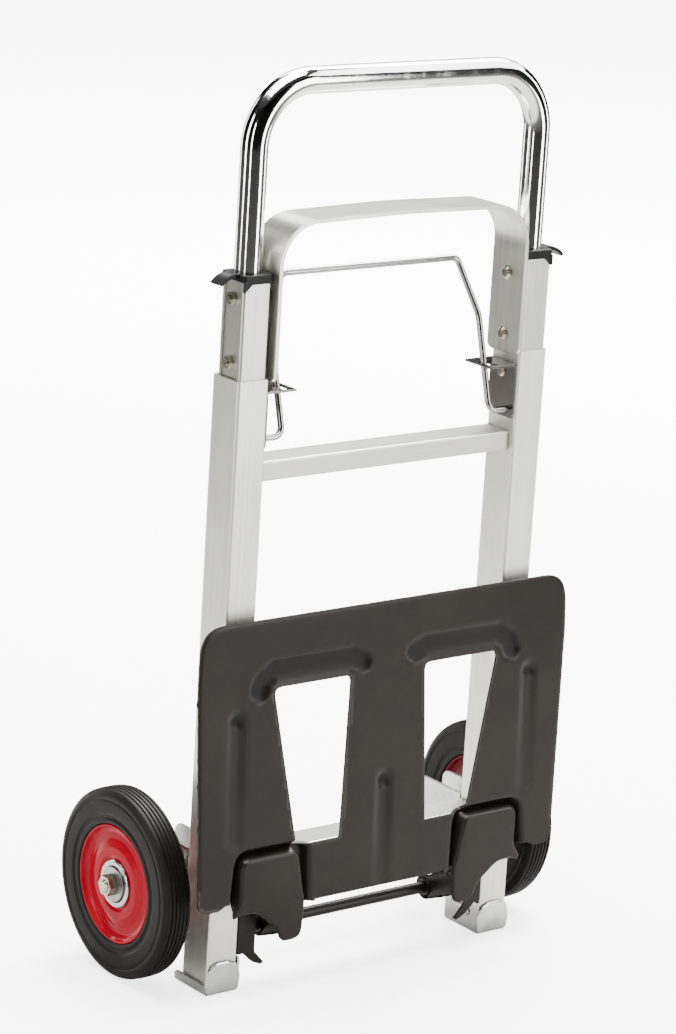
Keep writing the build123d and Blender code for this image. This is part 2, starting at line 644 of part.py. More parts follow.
# End caps with a hook on the outside for an elastic cord
CAP_OVERHANG = 1.2
CAP_DROOP = 9.0
CAP_WING_WIDTH = 15.0
CAP_WING_DROP = 8.0
for name, side in SIDES.items():
    cap_outer = INNER_STILE_X1 + CAP_OVERHANG
    cap_inner = INNER_STILE_X0 - CAP_OVERHANG
    cap_front = INNER_STILE_FRONT - CAP_OVERHANG
    with BuildPart() as cap:
        with BuildSketch(Plane.XY.offset(INNER_STILE_TOP)):
            with Locations((side * (cap_outer + cap_inner) / 2, HANDLE_Y)):
                RectangleRounded(cap_outer - cap_inner, INNER_STILE_DEPTH + 2 * CAP_OVERHANG, 3)
        extrude(amount=CAP_HEIGHT)
        fillet(cap.faces().sort_by(Axis.Z)[-1].edges(), radius=1.6)
        with BuildSketch(y_plane(INNER_STILE_FRONT)):
            with BuildLine():
                Polyline(
                    (side * cap_outer, INNER_STILE_TOP + 1),
                    (side * cap_outer, INNER_STILE_TOP - CAP_DROOP + 1),
                    (side * (cap_outer - 1.5), INNER_STILE_TOP - CAP_DROOP),
                    (side * (cap_outer - 9), INNER_STILE_TOP - 2),
                    (side * cap_inner, INNER_STILE_TOP - 2),
                    (side * cap_inner, INNER_STILE_TOP + 1),
                    (side * cap_outer, INNER_STILE_TOP + 1),
                )
            make_face()
        extrude(amount=CAP_OVERHANG)
        with BuildSketch(y_plane(HANDLE_Y + CAP_WING_WIDTH / 2 - 2)):
            with BuildLine():
                wing_tip = side * (OUTER_FACE + CAP_WING)
                ThreePointArc(
                    (side * (cap_outer - 4), INNER_STILE_TOP + CAP_HEIGHT - 0.6),
                    (side * (cap_outer + 10), INNER_STILE_TOP + CAP_HEIGHT - 0.6),
                    (wing_tip, INNER_STILE_TOP + CAP_HEIGHT - CAP_WING_DROP),
                )
                Line(
                    (wing_tip, INNER_STILE_TOP + CAP_HEIGHT - CAP_WING_DROP),
                    (wing_tip - side * 2.6, INNER_STILE_TOP + CAP_HEIGHT - CAP_WING_DROP - 1.2),
                )
                ThreePointArc(
                    (wing_tip - side * 2.6, INNER_STILE_TOP + CAP_HEIGHT - CAP_WING_DROP - 1.2),
                    (side * (cap_outer + 8), INNER_STILE_TOP + CAP_HEIGHT - 3.6),
                    (side * (cap_outer - 4), INNER_STILE_TOP + CAP_HEIGHT - 4.4),
                )
                Line(
                    (side * (cap_outer - 4), INNER_STILE_TOP + CAP_HEIGHT - 4.4),
                    (side * (cap_outer - 4), INNER_STILE_TOP + CAP_HEIGHT - 0.6),
                )
            make_face()
        extrude(amount=CAP_WING_WIDTH)
        with BuildSketch(Plane.XY.offset(INNER_STILE_TOP - CAP_DROOP)):
            with Locations((side * HANDLE_X, HANDLE_Y)):
                Circle(HANDLE_RADIUS + FIXED_FIT)
        extrude(amount=2 * CAP_DROOP + CAP_HEIGHT, mode=Mode.SUBTRACT)
    save(cap.part, f"cap_{name}")

# ---------------------------------------------------------------- release bail
bail_plane = Plane(
    origin=(0, BAIL_PIVOT_Y, BAIL_PIVOT_HEIGHT),
    x_dir=(1, 0, 0),
    z_dir=(0, -cos(radians(BAIL_LEAN)), sin(radians(BAIL_LEAN))),
)
BAIL_END = INNER_FACE + STILE_WALL
with BuildPart() as release_bail:
    with BuildLine(bail_plane) as bail_path:
        FilletPolyline(
            (-BAIL_END, 0),
            (-BAIL_LEG, 0),
            (-BAIL_LEG, 0.62 * BAIL_HEIGHT),
            (-BAIL_TOP_HALF, BAIL_HEIGHT),
            (BAIL_TOP_HALF, BAIL_HEIGHT),
            (BAIL_LEG, 0.62 * BAIL_HEIGHT),
            (BAIL_LEG, 0),
            (BAIL_END, 0),
            radius=[9, 25, 8, 8, 25, 9],
        )
    with BuildSketch(Plane.YZ.offset(-BAIL_END)):
        with Locations((BAIL_PIVOT_Y, BAIL_PIVOT_HEIGHT)):
            Circle(BAIL_RADIUS)
    sweep(path=bail_path.wires()[0])
save(release_bail.part, "release_bail")

# ---------------------------------------------------------------- toe plate
# Sketched on its own front plane: local y runs up the plate from its lower edge.
lean = radians(PLATE_LEAN)
plate_front = Plane(
    origin=(0, STILE_FRONT - PLATE_REACH, PLATE_BOTTOM),
    x_dir=(1, 0, 0),
    z_dir=(0, -cos(lean), sin(lean)),
)
PLATE_HALF = PLATE_WIDTH / 2
WING_BOTTOM = 9.0            # the outer corners end this much higher than the middle
POCKET_TOP = KNUCKLE_TOP + 10.0 - PLATE_BOTTOM
POCKET_INNER = KNUCKLE_INNER - 8.0
POCKET_OUTER = KNUCKLE_OUTER + 11.0
WINDOW_TOP = 206.0
WINDOW_BOTTOM = 55.5
CHANNEL_WIDTH = 15.0


def mirrored(points, side):
    """The same outline on either side of the truck."""
    return [(side * x, y) for x, y in points]


def rounded_face(points, radii):
    """The face inside a closed outline, each corner rounded by its own radius."""
    with BuildSketch() as face:
        with BuildLine():
            FilletPolyline(*points, radius=radii, close=True)
        make_face()
    return face.sketch


def pocket_face(side, grow):
    """Recess around a knuckle, open at the plate's lower edge, grown by the sheet on its back."""
    points = [
        (POCKET_INNER - grow, -30),
        (POCKET_INNER + 9 - grow, POCKET_TOP + grow),
        (KNUCKLE_OUTER + 3 + grow, POCKET_TOP + grow),
        (POCKET_OUTER + grow, 20),
        (POCKET_OUTER + grow, -30),
    ]
    return rounded_face(mirrored(points, side), [0, 9, 9, 12, 0])


def channels(grow):
    """Stiffening channels pressed into the plate: one upright each side, one in the middle, two bends."""
    width = CHANNEL_WIDTH + 2 * grow
    for side in SIDES.values():
        with Locations((side * 166, 115)):
            SlotOverall(130 + 2 * grow, width, rotation=90)
        with Locations((side * 78, 222)):
            SlotOverall(112 + 2 * grow, width)
        with Locations((side * 137, 213)):
            SlotOverall(34 + 2 * grow, width, rotation=-side * 60)
    with Locations((0, 62)):
        SlotOverall(96 + 2 * grow, width, rotation=90)


pocket_backs = [pocket_face(side, PLATE_SHEET) for side in SIDES.values()]
pocket_fronts = [pocket_face(side, 0) for side in SIDES.values()]
window = [(41.5, WINDOW_TOP), (127, WINDOW_TOP), (97, WINDOW_BOTTOM), (48.5, WINDOW_BOTTOM)]
windows = [rounded_face(mirrored(window, side), [7, 7, 2, 2]) for side in SIDES.values()]
with BuildPart() as toe_plate:
    with BuildSketch(plate_front):
        with BuildLine():
            right_edge = [
                (KNUCKLE_INNER - 4, 0),
                (POCKET_OUTER + 4, WING_BOTTOM + 4),
                (POCKET_OUTER + 12, WING_BOTTOM),
                (PLATE_HALF - 14, WING_BOTTOM),
                (PLATE_HALF - 6, WING_BOTTOM + 5),
                (PLATE_HALF, PLATE_HEIGHT * 0.8),
                (PLATE_HALF - 2, PLATE_HEIGHT),
            ]
            outline = right_edge + mirrored(right_edge, -1)[::-1]
            FilletPolyline(
                *outline,
                radius=[3, 3, 5, 5, 60, PLATE_CORNER, PLATE_CORNER, 60, 5, 5, 3, 3],
            )
            Line(outline[-1], outline[0])
        make_face()
    extrude(amount=-PLATE_SHEET)
    # Backs of the pressings
    with BuildSketch(plate_front.offset(-PLATE_SHEET)):
        channels(1.5)
    extrude(amount=-PRESSING_DEPTH)
    with BuildSketch(plate_front.offset(-PLATE_SHEET)):
        add(pocket_backs)
        with Locations((0, -15)):
            Rectangle(PLATE_WIDTH, 30, mode=Mode.SUBTRACT)
    extrude(amount=-POCKET_DEPTH)
    # Their fronts
    with BuildSketch(plate_front):
        channels(0)
    extrude(amount=-PRESSING_DEPTH, mode=Mode.SUBTRACT)
    with BuildSketch(plate_front):
        add(pocket_fronts)
    extrude(amount=-POCKET_DEPTH, mode=Mode.SUBTRACT)
    # Turned-back lower edge between the knuckles
    with BuildSketch(plate_front):
        with Locations((0, PLATE_SHEET / 2)):
            Rectangle(2 * POCKET_INNER - 6, PLATE_SHEET)
    extrude(amount=-PLATE_REACH + 8)
    # Windows
    with BuildSketch(plate_front):
        add(windows)
    extrude(amount=-PLATE_SHEET - PRESSING_DEPTH - 1, mode=Mode.SUBTRACT)
save(toe_plate.part, "toe_plate")

# Knuckles: pressed shells on the plate's pocket floors, with two ears each on the hinge rod
POCKET_FLOOR = STILE_FRONT - PLATE_REACH + POCKET_DEPTH
EAR_INNER = KNUCKLE_INNER
EAR_OUTER = TAIL_TIP - 4.0
LOBE_BOTTOM = 48.0
SHELL_BOTTOM = 90.0
SHELL_DEPTH = POCKET_DEPTH + 4.0


KNUCKLE_OUTLINE = [
    (96.5, KNUCKLE_TOP),
    (KNUCKLE_OUTER, KNUCKLE_TOP),
    (KNUCKLE_OUTER, 92),
    (KNUCKLE_OUTER + 7, 82.5),
    (KNUCKLE_OUTER + 5.5, 78.5),
    (KNUCKLE_OUTER - 4, 81.5),
    (137, 80),
    (112, 62),
    (106, LOBE_BOTTOM),
    (KNUCKLE_INNER, LOBE_BOTTOM),
    (KNUCKLE_INNER, 96),
]
KNUCKLE_ROUNDING = [10, 6, 6, 1, 1.5, 2, 14, 14, 8, 9, 20]
SHELL_OUTLINE = [
    (96.5, KNUCKLE_TOP),
    (KNUCKLE_OUTER, KNUCKLE_TOP),
    (KNUCKLE_OUTER, SHELL_BOTTOM),
    (KNUCKLE_INNER, SHELL_BOTTOM),
    (KNUCKLE_INNER, 96),
]
SHELL_HOLLOW = [
    (99.5, KNUCKLE_TOP - KNUCKLE_SHEET),
    (KNUCKLE_OUTER - KNUCKLE_SHEET, KNUCKLE_TOP - KNUCKLE_SHEET),
    (KNUCKLE_OUTER - KNUCKLE_SHEET, SHELL_BOTTOM - 5),
    (KNUCKLE_INNER + KNUCKLE_SHEET, SHELL_BOTTOM - 5),
    (KNUCKLE_INNER + KNUCKLE_SHEET, 97),
]
KNUCKLE_BACK = STILE_FRONT - KNUCKLE_REACH + KNUCKLE_SHEET
for name, side in SIDES.items():
    face_outline = rounded_face(mirrored(KNUCKLE_OUTLINE, side), KNUCKLE_ROUNDING)
    shell_outline = rounded_face(mirrored(SHELL_OUTLINE, side), [10, 6, 0, 0, 20])
    shell_hollow = rounded_face(mirrored(SHELL_HOLLOW, side), [8, 4, 0, 0, 18])
    with BuildPart() as knuckle:
        with BuildSketch(y_plane(KNUCKLE_BACK)):
            add(face_outline)
        extrude(amount=KNUCKLE_SHEET)
        with BuildSketch(y_plane(KNUCKLE_BACK)):
            add(shell_outline)
            add(shell_hollow, mode=Mode.SUBTRACT)
        extrude(amount=-SHELL_DEPTH)
        split(bisect_by=plate_front.offset(SEAT_GAP - POCKET_DEPTH), keep=Keep.TOP)
        for ear in (EAR_INNER, EAR_OUTER - KNUCKLE_SHEET):
            with BuildSketch(Plane.YZ.offset(side * ear)):
                with BuildLine():
                    Polyline(
                        (STILE_FRONT - KNUCKLE_REACH + 0.5, 56),
                        (STILE_FRONT - KNUCKLE_REACH + 0.5, 74),
                        (STILE_FRONT - 10, 76),
                        (HINGE_Y, HINGE_Z + 10),
                        (HINGE_Y, HINGE_Z - 10),
                        (STILE_FRONT - 8, 50),
                        (STILE_FRONT - KNUCKLE_REACH + 0.5, 56),
                    )
                make_face()
                with Locations((HINGE_Y, HINGE_Z)):
                    Circle(HINGE_BUSH_RADIUS + 4)
                    Circle(HINGE_BUSH_RADIUS + FIXED_FIT, mode=Mode.SUBTRACT)
            extrude(amount=side * KNUCKLE_SHEET)
    save(knuckle.part, f"knuckle_{name}")

for name, side in SIDES.items():
    with BuildPart() as hinge_bush:
        x_cylinder(side, EAR_INNER - 1.5, EAR_OUTER + 1.5, HINGE_Y, HINGE_Z, HINGE_BUSH_RADIUS)
        x_cylinder(
            side, EAR_INNER - 5, EAR_OUTER + 5, HINGE_Y, HINGE_Z, HINGE_ROD_RADIUS + RUNNING_FIT, Mode.SUBTRACT
        )
    save(hinge_bush.part, f"hinge_bush_{name}")

# ---------------------------------------------------------------- wheels
DISC_SHEET = 1.8
HUB_RADIUS = 19.0
BEARING_RADIUS = 16.0
BEARING_WIDTH = 10.0
WHEEL_MIDDLE = (WHEEL_INNER + WHEEL_OUTER) / 2
TREAD_GROOVES = (-5.5, 0, 5.5)
GROOVE_DEPTH = 1.6


def turned(side, outline):
    """Turns a half section about the axle. Outline points are (distance from the truck's middle, radius)."""
    with BuildPart() as ring:
        with BuildSketch(Plane.XY.offset(AXLE_Z)):
            with BuildLine():
                Polyline(*[(side * x, AXLE_Y + r) for x, r in outline], close=True)
            make_face()
        revolve(axis=Axis((0, AXLE_Y, AXLE_Z), (1, 0, 0)))
    return ring.part


for name, side in SIDES.items():
    half = TYRE_WIDTH / 2
    tread = [
        (WHEEL_MIDDLE - half, RIM_RADIUS + 3),
        (WHEEL_MIDDLE - half, WHEEL_RADIUS - 8),
        (WHEEL_MIDDLE - half + 1.2, WHEEL_RADIUS - 4),
        (WHEEL_MIDDLE - half + 4, WHEEL_RADIUS - 1),
    ]
    for centre in TREAD_GROOVES:
        tread += [
            (WHEEL_MIDDLE + centre - 1.3, WHEEL_RADIUS),
            (WHEEL_MIDDLE + centre - 0.7, WHEEL_RADIUS - GROOVE_DEPTH),
            (WHEEL_MIDDLE + centre + 0.7, WHEEL_RADIUS - GROOVE_DEPTH),
            (WHEEL_MIDDLE + centre + 1.3, WHEEL_RADIUS),
        ]
    tread += [
        (WHEEL_MIDDLE + half - 4, WHEEL_RADIUS - 1),
        (WHEEL_MIDDLE + half - 1.2, WHEEL_RADIUS - 4),
        (WHEEL_MIDDLE + half, WHEEL_RADIUS - 8),
        (WHEEL_MIDDLE + half, RIM_RADIUS + 3),
        (WHEEL_MIDDLE + half - 2.5, RIM_RADIUS),
        (WHEEL_MIDDLE - half + 2.5, RIM_RADIUS),
    ]
    save(turned(side, tread), f"tyre_{name}")

    # Two dished discs back to back make the rim that the tyre sits on.
    for disc_name, outward in {"outer": 1, "inner": -1}.items():
        lip = WHEEL_MIDDLE + outward * (half - 2.5)
        seam = WHEEL_MIDDLE + outward * 0.02
        hub_face = HUB_OUTER - 1.0 if outward > 0 else HUB_INNER + 1.0
        dish = WHEEL_MIDDLE + outward * 9.0
        disc = [
            (seam, RIM_RADIUS - 0.05),
            (lip, RIM_RADIUS - 0.05),
            (lip, RIM_RADIUS - DISC_SHEET),
            (dish, RIM_RADIUS - 6),
            (hub_face, HUB_RADIUS + 10),
            (hub_face, HUB_RADIUS + FIXED_FIT),
            (hub_face - outward * DISC_SHEET, HUB_RADIUS + FIXED_FIT),
            (hub_face - outward * DISC_SHEET, HUB_RADIUS + 9.5),
            (dish - outward * DISC_SHEET, RIM_RADIUS - 6),
            (seam, RIM_RADIUS - DISC_SHEET),
        ]
        save(turned(side, disc), f"rim_disc_{disc_name}_{name}")

    hub = [
        (HUB_INNER, BEARING_RADIUS + FIXED_FIT),
        (HUB_INNER, HUB_RADIUS),
        (HUB_OUTER, HUB_RADIUS),
        (HUB_OUTER, BEARING_RADIUS + FIXED_FIT),
    ]
    save(turned(side, hub), f"hub_{name}")

    rings = []
    for near in (HUB_INNER, HUB_OUTER - BEARING_WIDTH):
        ring = [
            (near, AXLE_RADIUS + RUNNING_FIT),
            (near, BEARING_RADIUS),
            (near + BEARING_WIDTH, BEARING_RADIUS),
            (near + BEARING_WIDTH, AXLE_RADIUS + RUNNING_FIT),
        ]
        rings.append(turned(side, ring))
    with BuildPart() as bearings:
        for ring in rings:
            add(ring)
    save(bearings.part, f"bearings_{name}")
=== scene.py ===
import json
import math

import bmesh
import bpy
import numpy as np
from mathutils import Matrix, Vector
from mathutils.geometry import delaunay_2d_cdt


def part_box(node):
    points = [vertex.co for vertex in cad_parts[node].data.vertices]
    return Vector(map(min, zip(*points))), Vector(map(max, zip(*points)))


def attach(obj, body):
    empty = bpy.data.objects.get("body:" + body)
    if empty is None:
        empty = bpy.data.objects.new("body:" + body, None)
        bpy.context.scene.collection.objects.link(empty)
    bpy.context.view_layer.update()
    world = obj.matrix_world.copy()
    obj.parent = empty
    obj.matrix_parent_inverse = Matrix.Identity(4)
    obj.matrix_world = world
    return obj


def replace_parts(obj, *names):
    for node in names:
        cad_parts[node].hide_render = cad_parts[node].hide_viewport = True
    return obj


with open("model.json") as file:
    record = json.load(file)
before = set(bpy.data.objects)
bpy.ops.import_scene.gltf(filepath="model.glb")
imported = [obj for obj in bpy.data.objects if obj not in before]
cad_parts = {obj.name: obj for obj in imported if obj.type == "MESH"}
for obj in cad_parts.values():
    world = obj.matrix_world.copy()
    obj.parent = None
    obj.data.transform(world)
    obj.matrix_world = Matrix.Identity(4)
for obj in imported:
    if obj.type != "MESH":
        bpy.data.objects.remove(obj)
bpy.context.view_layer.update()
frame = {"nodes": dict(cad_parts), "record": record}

MM = 0.001
SIDES = {"left": -1, "right": 1}

# Where the stiles' front faces, the axle and the wheels' middle planes are, read from the frame
STILE_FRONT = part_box("stile_left")[0][1] / MM
AXLE_Y, AXLE_Z = (sum(corner[i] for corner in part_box("axle")) / 2 for i in (1, 2))
WHEEL_MIDDLE = sum(corner[0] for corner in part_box("tyre_right")) / 2

# Finishes: colours in linear light, lengths in metres
# The first colour here is painted shade, laid by ambient occlusion where another piece is within reach
JOINT_SHADE, JOINT_SHADE_REACH, JOINT_SHADE_COVER = (0.05, 0.042, 0.032, 1), 0.004, 0.85
EDGE_SAMPLES, JOINT_SHADE_SAMPLES = 4, 8
# The third colour here is painted shade, for dark outlines on zinc edges
BRIGHT_ZINC, YELLOWED_ZINC, PAINTED_EDGE_SHADE = (0.62, 0.635, 0.605, 1), (0.66, 0.62, 0.50, 1), (0.10, 0.09, 0.07, 1)
BLACK_DEEP, BLACK_PALE = (0.0062, 0.0042, 0.0026, 1), (0.0105, 0.0074, 0.0048, 1)
BLACK_PRESSING_SHADE, BLACK_RUBBED, DUST = (0.0016, 0.0011, 0.0007, 1), (0.16, 0.105, 0.065, 1), (0.10, 0.09, 0.08, 1)
RUBBER, BLOOMED_RUBBER = (0.0036, 0.0028, 0.002, 1), (0.0072, 0.0058, 0.0042, 1)
RUBBER_DUST = (0.016, 0.014, 0.011, 1)
RED_DEEP, RED_BRIGHT = (0.22, 0.001, 0.008, 1), (0.30, 0.0016, 0.012, 1)
# The last colour here is painted shade, for the discs' faces towards the frame
RED_RUBBED, RED_PAINTED_SHADE = (0.20, 0.01, 0.01, 1), (0.045, 0.001, 0.003, 1)


# ---------------------------------------------------------------- writing finishes as expressions
class Value:
    """A number socket; sums, differences and products of Values add their Math nodes."""

    def __init__(self, finish, socket):
        self.finish, self.socket = finish, socket

    def math(self, operation, *others):
        return self.finish.node("Math", {"operation": operation}, dict(enumerate((self, *others))))

    def __add__(self, other):
        return self.math("ADD", other)

    def __sub__(self, other):
        return self.math("SUBTRACT", other)

    def __mul__(self, other):
        return self.math("MULTIPLY", other)

    def __rsub__(self, other):
        return (self * -1.0) + other

    __radd__, __rmul__ = __add__, __mul__

    def clip(self):
        """The value held between 0 and 1."""
        return self.finish.node("Clamp", {}, {0: self})

    def step(self, low, high):
        """0 below low, 1 above high, smooth between."""
        sockets = {"Value": self, "From Min": low, "From Max": high}
        return self.finish.node("MapRange", {"interpolation_type": "SMOOTHSTEP"}, sockets)


class Finish:
    """A material under construction: its nodes and its Principled shader."""

    def __init__(self, name):
        self.material = bpy.data.materials.new(name)
        self.material.use_nodes = True
        self.tree = self.material.node_tree
        self.tree.nodes.clear()
        self.shader = self.tree.nodes.new("ShaderNodeBsdfPrincipled")
        output = self.tree.nodes.new("ShaderNodeOutputMaterial")
        self.tree.links.new(self.shader.outputs[0], output.inputs[0])

    def node(self, kind, settings, sockets, output=0):
        """Any node: its type, its settings, then its sockets' values or links."""
        made = self.tree.nodes.new("ShaderNode" + kind)
        for key, value in settings.items():
            setattr(made, key, value)
        for key, value in sockets.items():
            self.put(made.inputs[key], value)
        return Value(self, made.outputs[output])

    def put(self, socket, value):
        """Links a Value to a socket, or sets the socket to a plain number or colour."""
        if isinstance(value, Value):
            self.tree.links.new(value.socket, socket)
        else:
            socket.default_value = value

    def place(self, scale=(1, 1, 1)):
        """Object coordinates, stretched."""
        here = self.node("TexCoord", {}, {}, "Object")
        return self.node("VectorMath", {"operation": "MULTIPLY"}, {0: here, 1: scale})

    def noise(self, scale, detail, rough, stretch=(1, 1, 1)):
        """Noise from 0 to 1 with about scale lumps to the metre, on stretched object coordinates."""
        sockets = {"Vector": self.place(stretch), "Scale": scale, "Detail": detail, "Roughness": rough}
        return self.node("TexNoise", {}, sockets, "Fac")

    def mix(self, amount, first, second):
        """A colour between two others."""
        settings = {"data_type": "RGBA"}
        return self.node("Mix", settings, {"Factor": amount, 6: first, 7: second}, 2)

    def axis(self, name):
        """One object coordinate, as a number in metres."""
        return self.node("SeparateXYZ", {}, {0: self.place()}, name)

    def soft_edges(self, radius):
        """The surface normal, rounded over its edges."""
        return self.node("Bevel", {"samples": EDGE_SAMPLES}, {"Radius": radius})

    def edge(self, radius, gain):
        """1 on a convex or concave edge, 0 on a flat face."""
        rounded = self.soft_edges(radius)
        face = self.node("NewGeometry", {}, {}, "Normal")
        facing = self.node("VectorMath", {"operation": "DOT_PRODUCT"}, {0: rounded, 1: face}, "Value")
        return ((1 - facing) * gain).clip()

    def shaded_in_joints(self, tone):
        """The tone darkened by painted shade where another piece is within reach, as deep in a joint."""
        opened = self.node("AmbientOcclusion", {"samples": JOINT_SHADE_SAMPLES}, {"Distance": JOINT_SHADE_REACH}, "AO")
        return self.mix((1 - opened).step(0.30, 0.75) * JOINT_SHADE_COVER, tone, JOINT_SHADE)

    def bump(self, height, strength, distance, edge_radius=0.0):
        """A normal raised by height, over edges rounded by edge_radius if that isn't 0."""
        sockets = {"Height": height, "Strength": strength, "Distance": distance}
        if edge_radius:
            sockets["Normal"] = self.soft_edges(edge_radius)
        return self.node("Bump", {}, sockets)

    def surface(self, **sockets):
        """Sets the shader's sockets; underscores stand for spaces."""
        for key, value in sockets.items():
            self.put(self.shader.inputs[key.replace("_", " ")], value)
        return self.material


def grey(value, warm=0.012):
    """A neutral colour with a little less blue."""
    return (value, value, value * (1 - 2 * warm), 1.0)


def extruded_aluminium(name, stretch, light, rough=0.34):
    """Satin extrusion: fine die lines along its length, handling marks, softly broken edges, and painted
    shade as dark outlines on the edges and in joints.
    """
    f = Finish(name)
    grain = f.noise(1.0, 4.0, 0.6, stretch)
    lines = f.noise(1.0, 2.0, 0.5, tuple(s * 0.23 for s in stretch))
    smudge = f.noise(9.0, 4.0, 0.6)
    specks = f.noise(420.0, 2.0, 0.5).step(0.66, 0.78)
    tone = f.mix(smudge.step(0.35, 0.75), grey(light, 0.045), grey(light * 0.82, 0.06))
    tone = f.mix(lines.step(0.3, 0.8) * 0.45, tone, grey(light * 1.16, 0.04))
    tone = f.mix(specks * 0.35, tone, grey(light * 0.45, 0.06))
    # Painted shade: dark outlines on the edges, then darkening in joints
    tone = f.mix(f.edge(0.0013, 5.0) * 0.8, tone, grey(light * 0.22, 0.06))
    tone = f.shaded_in_joints(tone)
    roughness = rough + (grain - 0.5) * 0.18 + (smudge - 0.5) * 0.16
    normal = f.bump(grain + lines * 0.6, 0.3, 0.00009, 0.0006)
    return f.surface(Base_Color=tone, Metallic=0.94, Roughness=roughness, Normal=normal)


def polished_chrome(name, light=1.0, dull=0.0):
    """Mirror chrome with faint wiping marks."""
    f = Finish(name)
    wipe = f.noise(1.0, 4.0, 0.6, (60, 60, 14))
    cloud = f.noise(14.0, 3.0, 0.5)
    tone = f.mix(cloud.step(0.3, 0.8), grey(0.80 * light, 0.01), grey(0.68 * light, 0.01))
    roughness = 0.06 + dull + wipe.step(0.45, 0.8) * 0.07 + cloud * 0.03
    normal = f.bump(cloud, 0.05, 0.0004)
    return f.surface(Base_Color=tone, Metallic=1.0, Roughness=roughness, Normal=normal)


def zinc_plate(name, tint=BRIGHT_ZINC, rough=0.24, edge_radius=0.0005, edge_shade=0.3):
    """Bright zinc on steel: cloudy passivation, yellowed here and there, with painted shade as dark outlines
    on its edges and in joints.
    """
    f = Finish(name)
    cloud = f.noise(32.0, 5.0, 0.6)
    fine = f.noise(260.0, 3.0, 0.6)
    yellow = f.noise(18.0, 3.0, 0.5).step(0.52, 0.74)
    tone = f.mix(cloud.step(0.3, 0.75), tint, tuple(c * 0.72 for c in tint[:3]) + (1,))
    tone = f.mix(yellow * 0.35, tone, YELLOWED_ZINC)
    # Painted shade: dark outlines on the edges, which also dim highlights there, then darkening in joints
    tone = f.mix(f.edge(0.0012, 5.0) * edge_shade, tone, PAINTED_EDGE_SHADE)
    tone = f.shaded_in_joints(tone)
    roughness = rough + (cloud - 0.5) * 0.18 + (fine - 0.5) * 0.1
    normal = f.bump(fine + cloud, 0.16, 0.0002, edge_radius)
    return f.surface(Base_Color=tone, Metallic=0.96, Roughness=roughness, Normal=normal)


def black_enamel(name, wear, rough=0.33):
    """Semi-gloss black paint over pressed steel: browner on rubbed edges, with painted shade in the
    pressings.
    """
    f = Finish(name)
    peel = f.noise(900.0, 2.0, 0.5)
    cloud = f.noise(16.0, 4.0, 0.6)
    rub = f.noise(120.0, 4.0, 0.65)
    edge = (f.edge(0.0008, 3.5).step(0.35, 0.8) * rub.step(0.48, 0.66) * wear).clip()
    dust = f.noise(700.0, 2.0, 0.5).step(0.70, 0.8)
    tone = f.mix(cloud.step(0.3, 0.8), BLACK_DEEP, BLACK_PALE)
    # Painted shade: the grooves, dimples and ribs darkened by the sunk attribute
    sunk = f.node("Attribute", {"attribute_name": "sunk"}, {}, "Fac")
    tone = f.mix(sunk * 0.75, tone, BLACK_PRESSING_SHADE)
    tone = f.mix(edge, tone, BLACK_RUBBED)
    tone = f.mix(dust * 0.08, tone, DUST)
    roughness = rough + (cloud - 0.5) * 0.08 + edge * 0.1 + dust * 0.05 + sunk * 0.2
    normal = f.bump(peel + cloud * 0.5, 0.10, 0.00025, 0.0009)
    return f.surface(Base_Color=tone, Roughness=roughness, Normal=normal, Specular_IOR_Level=0.17)


def moulded_plastic(name, shade, rough=0.36):
    """Black moulded plastic with a fine spark-eroded grain."""
    f = Finish(name)
    grain = f.noise(1500.0, 3.0, 0.6)
    cloud = f.noise(40.0, 3.0, 0.5)
    tone = f.mix(cloud, grey(shade * 0.6), grey(shade * 1.1))
    roughness = rough + (grain - 0.5) * 0.2 + (cloud - 0.5) * 0.12
    normal = f.bump(grain, 0.25, 0.0001, 0.0006)
    return f.surface(Base_Color=tone, Roughness=roughness, Normal=normal, Specular_IOR_Level=0.12)


def tyre_rubber(name):
    """Solid black rubber, slightly bloomed, with specks of ground-in dust."""
    f = Finish(name)
    bloom = f.noise(22.0, 5.0, 0.65)
    grain = f.noise(800.0, 3.0, 0.6)
    tone = f.mix(bloom.step(0.3, 0.8), RUBBER, BLOOMED_RUBBER)
    tone = f.mix(grain.step(0.6, 0.85) * 0.3, tone, RUBBER_DUST)
    roughness = 0.46 + (bloom - 0.5) * 0.3 + (grain - 0.5) * 0.1
    normal = f.bump(grain + bloom, 0.3, 0.00015, 0.0006)
    return f.surface(Base_Color=tone, Roughness=roughness, Normal=normal, Specular_IOR_Level=0.10)


def red_enamel(name):
    """Glossy red paint with a faint orange-peel ripple, darkened by painted shade on the side that faces the
    frame.
    """
    f = Finish(name)
    peel = f.noise(330.0, 2.0, 0.5)
    cloud = f.noise(26.0, 3.0, 0.5)
    edge = f.edge(0.001, 2.5) * f.noise(150.0, 3.0, 0.6).step(0.5, 0.7)
    tone = f.mix(cloud, RED_DEEP, RED_BRIGHT)
    tone = f.mix(edge * 0.5, tone, RED_RUBBED)
    # Painted shade: the disc faces nearer the middle than the wheel's middle plane are darkened
    inner = 1 - f.axis("X").math("ABSOLUTE").step(WHEEL_MIDDLE - 0.004, WHEEL_MIDDLE + 0.002)
    tone = f.mix(inner * 0.8, tone, RED_PAINTED_SHADE)
    roughness = 0.10 + (cloud - 0.5) * 0.08
    normal = f.bump(peel, 0.05, 0.0003, 0.0006)
    return f.surface(Base_Color=tone, Roughness=roughness, Normal=normal, Specular_IOR_Level=0.07)


